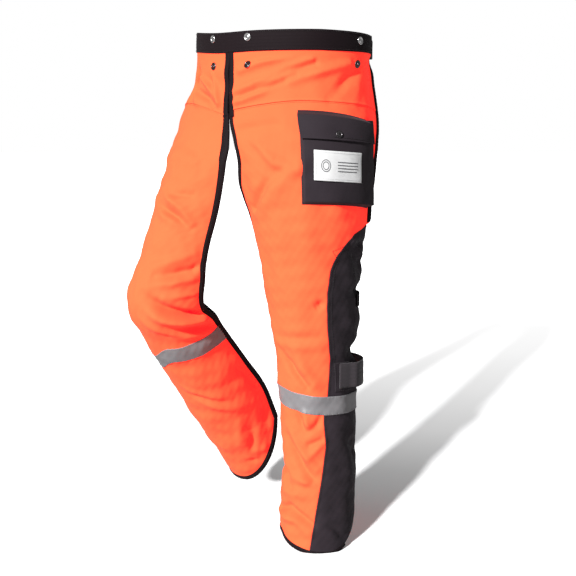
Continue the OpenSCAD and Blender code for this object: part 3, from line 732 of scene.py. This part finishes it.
CAP = [(6.5, 0), (6.5, 0.7), (6.2, 1.25), (5.6, 1.55), (4.9, 1.5),
       (4.3, 1.1), (3.9, 0.75), (3.4, 0.7), (2.9, 0.95), (2.2, 1.25),
       (1.2, 1.4), (0.3, 1.42)]
STUD = [(5.9, 0), (5.9, 0.5), (5.5, 1.0), (4.6, 1.2), (3.5, 1.0), (2.9, 0.9),
        (2.5, 1.3), (2.35, 2.6), (2.45, 3.2), (2.1, 3.6), (1.3, 3.7),
        (1.1, 3.1), (0.2, 3.0)]


def fasteners(name, spots, prof, mat):
    """Snap fasteners as one object; spots are (side, z, b, d, scale)."""
    V, F = [], []
    pv, pf = lathe(prof)
    for side, z, b, d, sc in spots:
        o, x, y, n = basis_on(side, z, b, d)
        base = len(V)
        for q in pv:
            V.append(o + (x * q[0] + y * q[1] + n * q[2]) * 0.001 * sc)
        F += [tuple(base + k for k in fc) for fc in pf]
    return make(name, V, F, mat)


def knee_line(side):
    x = 104 if side > 0 else 108
    return (place(side, [x, -25, KNEE_TOP[side]]) * 0.001,
            place(side, [x, -22, KNEE_BOT[side]]) * 0.001)


def tie(ob, slot, body=None, *nodes):
    """Body a piece rides and the CAD nodes it stands for, which are hidden;
    slot is not used.
    """
    if body:
        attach(ob, body)
    if nodes:
        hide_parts(*nodes)


def bend_knee(ob, side, slot, *nodes):
    """Cloth that runs from the thigh into the shin: its transform is baked and
    the CAD nodes it stands for are hidden.
    """
    a, b = knee_line(side)
    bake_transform(ob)
    tie(ob, slot, None, *nodes)


def bend_hip(ob, side, slot, *nodes):
    """Cloth that runs from the waist into the thigh: its transform is baked
    and the CAD nodes it stands for are hidden.
    """
    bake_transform(ob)
    tie(ob, slot, None, *nodes)


def run(z, b):
    """Path of (height, angle) points."""
    return np.stack([z, b], -1)


def edge(side, z0, z1, which, step=6.0):
    """Path along one edge of the leg from height z0 down to z1."""
    z = np.arange(z0, z1 - 1e-6, -step)
    if z[-1] > z1:
        z = np.append(z, z1)
    return run(z, which(side, z))


# ---- waist
def band_rise(b):
    b = np.asarray(b, float)
    return (3 - np.exp(-(b / 14) ** 2) - 5 * np.clip(
        np.abs(b) - 60, 0, 99) / 60 + 9 * smooth((-b - 6) / 50))


def band_low(b):
    """How much narrower the band is towards its rear end."""
    return 4 * smooth((np.asarray(b, float) + BAND) / BAND * 2 - 3)


def build_waist():
    v = np.linspace(-BAND, BAND, 260)[None, :]
    w = down(20)
    Z = BAND_TOP + band_rise(v) - (BAND_H - band_low(v)) * w
    B = v + 0 * w
    crown = 0.5 * np.sin(np.pi * w) + 0.25 * np.sin(v / 7.0) * np.sin(
        np.pi * w) + 0.18 * np.sin(w * BAND_H * 2 * np.pi / 3.0)
    band = cloth_sheet("waistband_webbing", 1, Z, B, 2.3 + crown, 1.8,
                       "black", f=0)
    tie(band, "black_webbing", "waist", "waistband")
    rows = [[(BAND_TOP + float(band_rise(b)) - 3
              - (BAND_H - 6 - float(band_low(b))) * k, b)
             for b in np.linspace(-BAND + 2, BAND - 2, 120)]
            for k in (0, 1)]
    st = dashes("waistband_stitches", 1, rows, 3.0, "thread_black", f=0)
    tie(st, "black_webbing", "waist")
    # turned ends of the band
    for s in (1, -1):
        v2 = np.linspace(BAND - 5.5, BAND + 0.6, 10)[None, :]
        Z2 = (BAND_TOP + 0.4 + band_rise(s * v2)
              - (BAND_H + 0.8 - band_low(s * v2)) * w)
        end = cloth_sheet(SIDE[s] + "_band_end", s, Z2, v2 + 0 * w,
                          3.3 + 0 * Z2, 1.0, "charcoal", f=0)
        tie(end, "black_webbing", "waist")
    caps = fasteners(
        "band_snap_rings",
        [(1, 1, 14, 3.0, 1.15), (1, -5, 93, 3.0, 1.15),
         (-1, 2, 14, 3.0, 1.15), (-1, 4, 93, 3.0, 1.15)], CAP, "nickel")
    tie(caps, "snap_metal", "waist", "band_snap_caps")
    studs = fasteners(
        "yoke_snap_posts",
        [(1, -49, 14, 0.9, 1.3), (1, -48, 91, 0.9, 1.3),
         (-1, -49, 14, 0.9, 1.3), (-1, -48, 91, 0.9, 1.3)], STUD,
        "gunmetal")
    tie(studs, "snap_metal", "waist", "yoke_snap_studs")


def build_yoke(side):
    name = SIDE[side]
    edge_b = lambda z: outer(side, z) - 0.5
    b_in = float(inner(side, TOP_REF)) + 0.8
    b_out = float(outer(side, TOP_REF))
    Z, B = grid(level(-2),
                lambda v: yoke_z(side, b_in + (b_out - b_in) * v) - 0.6,
                lambda z: inner(side, z) + 0.8, edge_b, 76, 190)
    lip = 1.6 * np.exp(-((Z - Z[-1:, :]) / 3.0) ** 2) * smooth(
        (B[:, -1:] - B) / 6)
    yoke = cloth_sheet(name + "_yoke_cloth", side, Z, B, 0.8 + 0.6 * lip,
                       1.2, ["orange", "lining"])
    bend_hip(yoke, side, "orange_shell", name + "_yoke")
    bi = binding(name + "_yoke_edge", side,
                 edge(side, -30, -140, outer), 8.0, 1.0, 1.6, flip=-1)
    bend_hip(bi, side, "black_webbing", name + "_yoke_binding")
    bs = np.linspace(3, 120, 90)
    st = dashes(name + "_yoke_stitches", side,
                [[(float(yoke_z(side, b)) + 3.0, b) for b in bs],
                 [(float(yoke_z(side, b)) - 3.5, b) for b in bs]],
                0.25, "thread_orange", rad=0.25)
    bend_hip(st, side, "orange_shell")


def build_strip():
    """Two bindings side by side down the front centre."""
    for s in (1, -1):
        zz = np.append(-25.4, np.arange(-28, -146, -4.0))
        pts = run(zz, inner(s, zz) + 0.4)
        bi = binding(SIDE[s] + "_front_strip", s, pts, 9.8, 1.6, 1.8)
        bend_hip(bi, s, "black_webbing")
    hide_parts("centre_strip")


def build_leg(side):
    name = SIDE[side]
    # orange front, yoke seam to hem
    rows = np.concatenate([np.linspace(0, 0.24, 62)[:-1],
                           np.linspace(0.24, 0.31, 42)[:-1],
                           np.linspace(0.31, 1, 200)])
    lo, hi = float(inner(side, HEM_REF)), float(np.interp(
        960, -SEAM[:, 0], SEAM[:, 1]))
    b_in = float(inner(side, TOP_REF))
    top = lambda up: lambda v: yoke_z(side, b_in + (125 - b_in) * v) + up
    low = lambda a, b, up: lambda v: hem(side, a + (b - a) * v) + up
    past = lambda which, gap: lambda z: which(side, z) + gap
    Z, B = grid(top(6.0), low(lo, hi, 0.5), past(inner, 0.2),
                past(seam, -0.1), 0, 130, dense=rows)
    tuck = smooth((Z - yoke_z(side, B)) / 4.0)
    shell = cloth_sheet(name + "_front_cloth", side, Z, B, -1.1 * tuck, 1.2,
                        ["orange", "lining"])
    nodes = lambda *ends: [name + "_" + q for q in ends]
    bend_knee(shell, side, "orange_shell",
              *nodes("thigh_shell", "knee_shell", "shin_shell"))
    # charcoal wrap, side of the thigh to the rear of the hem
    rows = np.concatenate([np.linspace(0, 0.12, 50)[:-1],
                           np.linspace(0.12, 1, 200)])
    far = float(outer(side, HEM_REF))
    Z, B = grid(level(-349.5), low(hi, far, 0.5), past(seam, 0.1),
                past(outer, -0.1), 0, 80, dense=rows)
    lip = 0.9 * np.exp(-((B - B[:, :1]) * 1.5 / 3.0) ** 2)
    wrap = cloth_sheet(name + "_wrap_cloth", side, Z, B, lip, 1.2 + lip,
                       ["charcoal", "lining"])
    bend_knee(wrap, side, "charcoal_shell",
              *nodes("thigh_wrap", "knee_wrap", "shin_wrap"))
    # pad and lining
    Z, B = grid(level(-168), level(-880), past(inner, 9),
                past(outer, -12), 160, 90)
    quilt = 0.5 * np.abs(np.sin(B * 1.6 * math.pi / 40)) ** 0.5
    pad = cloth_sheet(name + "_pad_layers", side, Z, B, -2.0, 4.4 + quilt,
                      "pad")
    bend_knee(pad, side, "protective_pad",
              *nodes("thigh_pad", "knee_quilt", "shin_pad"))
    Z, B = grid(top(-3), low(lo + 1, far - 1, 2), past(inner, 0.6),
                past(outer, -0.6), 200, 110)
    r = at(side, Z)[2] * K
    near = np.minimum((B - inner(side, Z)) * r, (outer(side, Z) - B) * r)
    near = np.minimum(near, Z - hem(side, B))
    near = np.minimum(near, yoke_z(side, B) - Z)
    depth = 1.6 + 5.9 * smooth(near / 16.0)
    lining = cloth_sheet(name + "_lining_cloth", side, Z, B, -depth, 0.7,
                         "lining")
    bend_knee(lining, side, "lining", *nodes("thigh_lining", "shin_lining"))
    # bindings
    medial = edge(side, -139, -800 if side > 0 else -840, inner)
    hb = float(inner(side, HEM_REF))
    vs = np.concatenate([[0.004, 0.012, 0.025], np.linspace(0.04, 0.955, 70)])
    stop = 100.0 if side > 0 else 118.0
    corner = [(float(hem(side, hb + (stop - hb) * v)), hb + (stop - hb) * v)
              for v in vs]
    if corner[0][0] < medial[-1][0]:
        extra = edge(side, medial[-1][0] - 6, corner[0][0] + 3, inner)
        medial = np.concatenate([medial, extra])
    path = np.concatenate([medial, np.array(corner)])
    bi = binding(name + "_edge_binding", side, path,
                 10.5 if side < 0 else 8.0, 1.1, 2.6)
    bend_knee(bi, side, "black_webbing",
              *nodes("thigh_bindings", "knee_binding", "shin_binding"))
    rear = binding(name + "_rear_binding", side,
                   edge(side, -138, -342, outer), 8.0, 1.0, 2.4, flip=-1)
    tie(rear, "black_webbing", name + "_thigh")
    # sewn lines
    off = lambda mm, z: mm / (at(side, z)[2] * K)
    zz = np.arange(-150, -870, -5.0)
    lines = [run(zz, inner(side, zz) + off(6.6, zz))]
    cut = np.array(corner)[6:]
    ib, iz, rr = frame_on(side, cut, 1)
    lines.append(run(cut[:, 0] + iz * 6.4, cut[:, 1] + ib * 6.4 / rr))
    st = dashes(name + "_binding_stitches", side, lines, 1.55,
                "thread_black", rad=0.28)
    bend_knee(st, side, "black_webbing")
    zz = np.arange(-352, -960, -4.0)
    lines = [run(zz, seam(side, zz) + off(3.2, zz))]
    st = dashes(name + "_seam_stitches", side, lines, 0.5, "thread_black",
                rad=0.28)
    bend_knee(st, side, "charcoal_shell")
    # outline of the calf pad
    z = np.arange(-412, -640, -4.0)
    left = run(z, seam(side, z) + off(9.0, z))
    peak = [(-392, 66.0), (-384, 78.0), (-405, 92.0), (-430, 100.0),
            (-470, 104.0), (-640, 110.0)]
    st = dashes(name + "_calf_pad_stitches", side,
                [np.concatenate([left[::-1], np.array(peak)])], 0.35,
                "thread_black", pitch=5.0, length=3.4, rad=0.45)
    bend_knee(st, side, "charcoal_shell")
    build_tape(side)


def tape_line(side, b):
    """Height of the tape's top edge; it runs askew over bunched cloth."""
    b = np.asarray(b, float)
    if side > 0:
        return -672 + 18 * (1 - smooth((b + 70) / 130))
    return (-594 - 0.2 * np.clip(-24 - b, 0, None)
            - 30 * smooth((b + 24) / 40))


def build_tape(side):
    name = SIDE[side]
    v = across(170)
    w = down(22)
    lo = float(inner(side, -640)) + 6
    hi = float(outer(side, -640)) - 3
    B = lo + (hi - lo) * v + 0 * w
    Z = tape_line(side, B) - TAPE_W * w
    pucker = 0.3 * np.sin(B * 1.1) * np.abs(2 * w - 1) ** 3
    tape = cloth_sheet(name + "_tape_cloth", side, Z, B, 1.15 + pucker, 0.5,
                       "tape")
    tie(tape, "reflective_tape", name + "_shin", name + "_reflective_tape")
    bs = np.linspace(lo + 1, hi - 1, 100)
    st = dashes(name + "_tape_stitches", side,
                [[(float(tape_line(side, b)) - q, b) for b in bs]
                 for q in (2.0, TAPE_W - 2.0)], 1.3, "thread_grey", rad=0.22)
    tie(st, "reflective_tape", name + "_shin")


# ---- pocket
def build_pocket():
    zt, zb = POCKET_TOP, POCKET_LOW
    b0 = lambda z: 43.8 + (z - POCKET_TOP) * 0.044
    b1 = lambda z: 100 - (z - POCKET_TOP) * 0.09
    Z, B = grid(level(zt), lambda v: zb - 12 * v * v, b0, b1,
                120, 120)
    v = (B - b0(Z)) / (b1(Z) - b0(Z))
    w = (zt - Z) / (zt - Z[-1:, :])
    lift = smooth(np.minimum(v, 1 - v) * 24) * smooth((1 - w) * 26)
    soft = 0.8 + 0.2 * np.sin(np.pi * v) * np.sin(np.pi * np.clip(w, 0, 1))
    crease = 0.7 * np.sin(v * 9 + w * 4) * lift
    rear = 12 * np.clip(v - 0.5, 0, 1) ** 1.5 * 2.8 * np.clip(w, 0, 1)
    d = 1.6 + (8.2 * soft + rear) * lift + crease
    pouch = cloth_sheet("pocket_pouch_cloth", 1, Z, B, d, 1.1,
                        ["charcoal", "lining"], f=0.3)
    tie(pouch, "charcoal_shell", "left_thigh", "pocket_pouch")
    z = np.arange(zt - 2, zb + 3, -4.0)
    bb = np.linspace(b0(zb) + 1.2, b1(zb) - 1.2, 60)
    st = dashes("pocket_stitches", 1,
                [run(z, b0(z) + 1.0), run(z, b1(z) - 1.0)], 3.6,
                "thread_black", f=0.3)
    tie(st, "charcoal_shell", "left_thigh")
    # label, kept square to the pocket's own edges
    label_b = lambda x, y: 50.3 - 1.7 * y + (36.4 + 4 * y) * x
    v = across(60)
    w = down(36)
    B = label_b(v, w)
    Z = -204.5 - 7 * v - 55 * w
    dl = 11.7 + 0.3 * np.sin(v * 8) + 0 * w
    lab = cloth_sheet("pocket_label_cloth", 1, Z, B, dl, 0.5, "label",
                      f=0.3)
    tie(lab, "label", "left_thigh", "pocket_label")
    at_l = lambda x, y: (-204.5 - 7 * x - 55 * y, label_b(x, y))
    box = [at_l(0.04, 0.07), at_l(0.96, 0.07), at_l(0.96, 0.93),
           at_l(0.04, 0.93), at_l(0.04, 0.07)]
    st = dashes("label_stitches", 1, [box], 12.0, "thread_grey",
                pitch=3.0, length=2.0, rad=0.2, f=0.3)
    tie(st, "label", "left_thigh")
    V, F = [], []

    def stroke(pts, wid):
        base = len(V)
        pts = np.asarray(pts, float)
        g = np.gradient(pts * LABEL, axis=0)
        n = np.stack([-g[:, 1], g[:, 0]], -1)
        n /= np.linalg.norm(n, axis=1)[:, None]
        for s in (-1, 1):
            q = pts + n * s * wid / 2 / np.array(LABEL)
            V.extend(skin(1, *at_l(*q.T), 12.15, 0.3))
        m = len(pts)
        for i in range(m - 1):
            F.append((base + i, base + i + 1, base + m + i + 1,
                      base + m + i))

    for y in (0.36, 0.46, 0.56, 0.66):
        stroke([(x, y) for x in np.linspace(0.45, 0.9 - 0.03 * (y > 0.6),
                                            12)], 1.4)
    for rad_ in (0.085, 0.055):
        t = np.linspace(0, 2 * math.pi, 40)
        stroke([(0.22 + rad_ * math.cos(a), 0.5 + rad_ * 2.27 *
                 math.sin(a)) for a in t], 1.5)
    pr = make("label_marks", V, F, "print")
    tie(pr, "label", "left_thigh")
    # snap under the flap
    stud = fasteners("pocket_snap_post", [(1, *FLAP_SNAP, 10.6, 0.7)],
                     [(6, 0), (6, 0.5), (5, 0.9), (2, 1.0), (0.3, 1.0)],
                     "gunmetal")
    tie(stud, "snap_metal", "left_thigh", "pocket_stud")
    # flap
    fb0, fb1 = (level(43.2)), (lambda z: 91 - (z + 150) * 0.21)
    Z, B = grid(lambda v: -133 - 17 * v ** 2,
                lambda v: -184 - 12 * v ** 1.4, fb0, fb1, 60, 110)
    v = (B - fb0(Z)) / (fb1(Z) - fb0(Z))
    w = (Z[:1, :] - Z) / (Z[:1, :] - Z[-1:, :])
    rim = np.exp(-np.minimum(np.minimum(v, 1 - v) * 170,
                             (1 - w) * 58) / 2.5)
    dd = 1.8 + 11.8 * smooth(w * 5.5) + 0.6 * np.sin(v * 7) + 0.5 * rim
    dd = dd + 1.6 * np.exp(-((v - 0.43) ** 2 / 0.01 +
                             (w - 0.75) ** 2 / 0.05)) * -1
    flap = cloth_sheet("pocket_flap_cloth", 1, Z, B, dd, 1.5,
                       ["charcoal", "lining"], f=0.3)
    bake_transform(flap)
    tie(flap, "charcoal_shell", None, "pocket_flap")
    bb = np.linspace(45, 99, 60)
    vv = (bb - 43.2) / 57.0
    low = [(float(-184 - 12 * x ** 1.4 + 4.5), b) for x, b in zip(vv, bb)]
    zz = np.arange(-140, -179, -4.0)
    st = dashes("flap_stitches", 1,
                [low, run(zz, 45 + 0 * zz)], 13.4,
                "thread_black", f=0.3)
    tie(st, "charcoal_shell", "pocket_flap_body")
    cap = fasteners("flap_snap_ring", [(1, *FLAP_SNAP, 12.6, 1.0)], CAP,
                    "gunmetal")
    tie(cap, "snap_metal", "pocket_flap_body", "flap_snap_cap")


# ---- straps
def plan(side, z, b0, b1, d0, d1, n):
    """Strap path in plan (mm, neutral) round the leg."""
    k = np.linspace(0, 1, n + 1)
    b = b0 + (b1 - b0) * k
    return np.stack(beside(side, z, b, d0 + (d1 - d0) * smooth(k)), -1)


def build_straps(side):
    name = SIDE[side]
    z = STRAP_Z[side]
    run = (196, 256) if side > 0 else (144, 282)
    e = 360 + float(inner(side, z))
    a = plan(side, z, run[0], run[0], 2.4, 2.4, 1)[0]
    b = plan(side, z, run[1], run[1], *([2.4] * 2 if side > 0 else
                                        [-9] * 2), 1)[0]
    ln = float(np.hypot(*(b - a)))
    u = (b - a) / ln
    mouth = a + u * ln * 0.52
    web = ribbon(name + "_knee_web", side, np.concatenate([
        plan(side, z, 112, run[0], 1.2 if side > 0 else 1.6, 2.4, 20),
        [mouth - u * 27]]), z - KNEE_STRAP_W / 2, KNEE_STRAP_W, WEB_T,
        "black")
    tie(web, "black_webbing", name + "_thigh", name + "_knee_webbing")
    tail = ribbon(name + "_knee_tail_web", side, np.concatenate([
        [mouth + u * 12],
        plan(side, z, run[1], e - 3, 2.4, -12.6, 12) if side > 0 else
        plan(side, z, e - 3, e - 2, -14.5, -14, 1),
        plan(side, z, e + 2, e + 9, -12.6, -12.6, 3)]),
        z - KNEE_STRAP_W / 2, KNEE_STRAP_W, WEB_T, "black")
    tie(tail, "black_webbing", name + "_thigh", name + "_knee_tail")
    # calf strap
    z = CALF_Z
    e = 360 + float(inner(side, z))
    far = e - 30 if side > 0 else 138
    strap = ribbon(name + "_calf_elastic", side, np.concatenate([
        plan(side, z, 75, 92, 3.6, 6.5, 8),
        plan(side, z, 98, far, 15 if side > 0 else 4.6, 4.6, 40),
        plan(side, z, e - 17, e - 6, -2 if side > 0 else -22, -14.0, 3),
        plan(side, z, e + 2.5, e + 5.5, -14.0, -14.0, 2)]),
        z - CALF_STRAP_W / 2, CALF_STRAP_W, 2.2, "elastic")
    tie(strap, "black_webbing", name + "_calf_strap_body",
        name + "_calf_strap")
    Z, B = grid(level(z + 25),
                lambda v: z - 30.5 - 1.5 * v, level(68.5),
                level(104), 34, 40)
    patch = cloth_sheet(name + "_loop_pile", side, Z, B,
                        1.5 if side > 0 else 2.7, 1.1,
                        "charcoal")
    tie(patch, "loop_fabric", name + "_shin", name + "_loop_patch")
    st = dashes(name + "_loop_stitches", side,
                [[(z + 23, 70), (z - 28, 70), (z - 29.5, 102.5)]], 1.8,
                "thread_black", rad=0.4)
    tie(st, "loop_fabric", name + "_shin")


def dress_hard():
    """Material and softened edges for the moulded CAD pieces."""
    for n, ob in frame["nodes"].items():
        if any(k in n for k in ("socket", "plug", "adjuster")):
            ob.data.materials.clear()
            ob.data.materials.append(MAT["plastic"])
            bv = ob.modifiers.new("edge", "BEVEL")
            bv.width = 0.0012
            bv.segments = 3
            bv.limit_method = "ANGLE"


def build_belt():
    for s in (1, -1):
        end = 34 if s > 0 else 4
        pts = np.concatenate([plan(1, 0, 112, 124, -3.4, -3.4, 6),
                              [[112, BELT_Y - 1.5], [100, BELT_Y],
                               [end, BELT_Y]]])
        ob = ribbon(SIDE[s] + "_belt_web", 1, pts, -30, BELT_W, WEB_T,
                    "black")
        if s < 0:
            ob.data.transform(Matrix.Scale(-1, 4, (1, 0, 0)))
            ob.data.flip_normals()
        tie(ob, "black_webbing", "waist", SIDE[s] + "_belt_webbing")


build_waist()
for s in (1, -1):
    build_yoke(s)
    build_leg(s)
    build_straps(s)
build_strip()
build_pocket()
build_belt()
dress_hard()

# ---- stage
FLOOR_Z = -0.9845
SHADOW_TURN = 21.5  # azimuth of the light that casts the floor's shadow
FLOOR_GLOW_SPAN = (0.0, 3.0)  # metres behind the object over which a painted glow on the floor rises, so the cast shadow fades out
# painted glow on the floor, seen by the camera only: dim by the object and
# near white further back, a painted lift of the cast shadow
FLOOR_GLOW_LEVELS = [(0.05, 0.09), (1.0, 0.84), (0.16, 0.2), (0.3, 0.43),
               (0.48, 0.61), (0.72, 0.76)]
BOUNCE, SEEN = 0.34, 0.93  # floor tone for bounced light and for the camera
AZ, EL = 43 * K, 7.5 * K  # camera azimuth and height angle
DISTANCE, FRAME = 2.35, 1.152  # camera distance and width of view, metres
TARGET = Vector((0.018, -0.003, -0.482))

floor = bpy.data.meshes.new("floor")
floor.from_pydata([(-40, -40, 0), (40, -40, 0), (40, 40, 0), (-40, 40, 0)],
                  [], [(0, 1, 2, 3)])
floor = bpy.data.objects.new("floor", floor)
floor.location = (0, 0, FLOOR_Z)
bpy.context.scene.collection.objects.link(floor)
m, nt, p = new_mat("floor_with_painted_glow")
put(p, Roughness=0.9, Specular_IOR_Level=0.0)
where = node(nt, "ShaderNodeTexCoord").outputs["Object"]
along = node(nt, "ShaderNodeVectorMath", {0: where},
             operation="DOT_PRODUCT")
along.inputs[1].default_value = (-math.sin(SHADOW_TURN * K),
                                 math.cos(SHADOW_TURN * K), 0)
floor_glow_ramp = node(nt, "ShaderNodeValToRGB")
for k, (pos, tone) in enumerate(FLOOR_GLOW_LEVELS):
    stop = (floor_glow_ramp.color_ramp.elements[k] if k < 2
            else floor_glow_ramp.color_ramp.elements.new(pos))
    if k < 2:
        stop.position = pos
    stop.color = (tone, tone, tone, 1)
far_off = node(nt, "ShaderNodeMapRange", {"Value": along.outputs["Value"]},
               i_From_Min=FLOOR_GLOW_SPAN[0], i_From_Max=FLOOR_GLOW_SPAN[1])
link(far_off.outputs["Result"], floor_glow_ramp.inputs["Fac"])
# the floor's painted glow, for camera rays only
link(floor_glow_ramp.outputs["Color"], p.inputs["Emission Color"])
seen = node(nt, "ShaderNodeLightPath").outputs["Is Camera Ray"]
link(seen, p.inputs["Emission Strength"])
tone = node(nt, "ShaderNodeMapRange", {"Value": seen}, i_To_Min=BOUNCE,
            i_To_Max=SEEN)
link(tone.outputs["Result"], p.inputs["Base Color"])
floor.data.materials.append(m)

scene = bpy.context.scene
world = bpy.data.worlds.new("studio")
scene.world = world
world.use_nodes = True
wt = world.node_tree
bg = wt.nodes["Background"]
put(bg, Color=[1, 1, 1, 1], Strength=0.18)
backdrop = node(wt, "ShaderNodeBackground", i_Color=[1, 1, 1, 1],
                i_Strength=1.0)
ray = node(wt, "ShaderNodeLightPath").outputs["Is Camera Ray"]
mx = node(wt, "ShaderNodeMixShader",
          {"Fac": ray, 1: bg.outputs[0], 2: backdrop.outputs[0]})
link(mx.outputs[0], wt.nodes["World Output"].inputs["Surface"])
scene.view_settings.view_transform = "Standard"


def aim(ob, target):
    ob.rotation_euler = (Vector(target) - ob.location).to_track_quat(
        "-Z", "Y").to_euler()


def sun(name, azimuth, height, strength, spread):
    """Light from the given azimuth (0 is in front, 90 the wearer's left)."""
    la = bpy.data.lights.new(name, "SUN")
    la.energy = strength
    la.angle = spread * K
    ob = bpy.data.objects.new(name, la)
    a, e = azimuth * K, height * K
    ob.location = (3 * math.sin(a) * math.cos(e),
                   -3 * math.cos(a) * math.cos(e), 3 * math.sin(e))
    aim(ob, (0, 0, 0))
    scene.collection.objects.link(ob)
    return ob


key = sun("key", 3, 25, 5.25, 5)
low = sun("floor_shadow_light", SHADOW_TURN, 17, 12, 3.5)
on_floor = bpy.data.collections.new("floor_only")
on_floor.objects.link(floor)
low.light_linking.receiver_collection = on_floor
cloth_only = bpy.data.collections.new("chaps_only")
for ob in scene.objects:
    if ob.type == "MESH" and ob is not floor:
        cloth_only.objects.link(ob)
key.light_linking.receiver_collection = cloth_only

cam = bpy.data.cameras.new("camera")
cam.sensor_width = 36
cam.lens = cam.sensor_width * DISTANCE / FRAME
camera = bpy.data.objects.new("camera", cam)
back = Vector((math.sin(AZ) * math.cos(EL), -math.cos(AZ) * math.cos(EL),
               math.sin(EL)))
camera.location = TARGET + back * DISTANCE
aim(camera, TARGET)
scene.collection.objects.link(camera)
scene.camera = camera
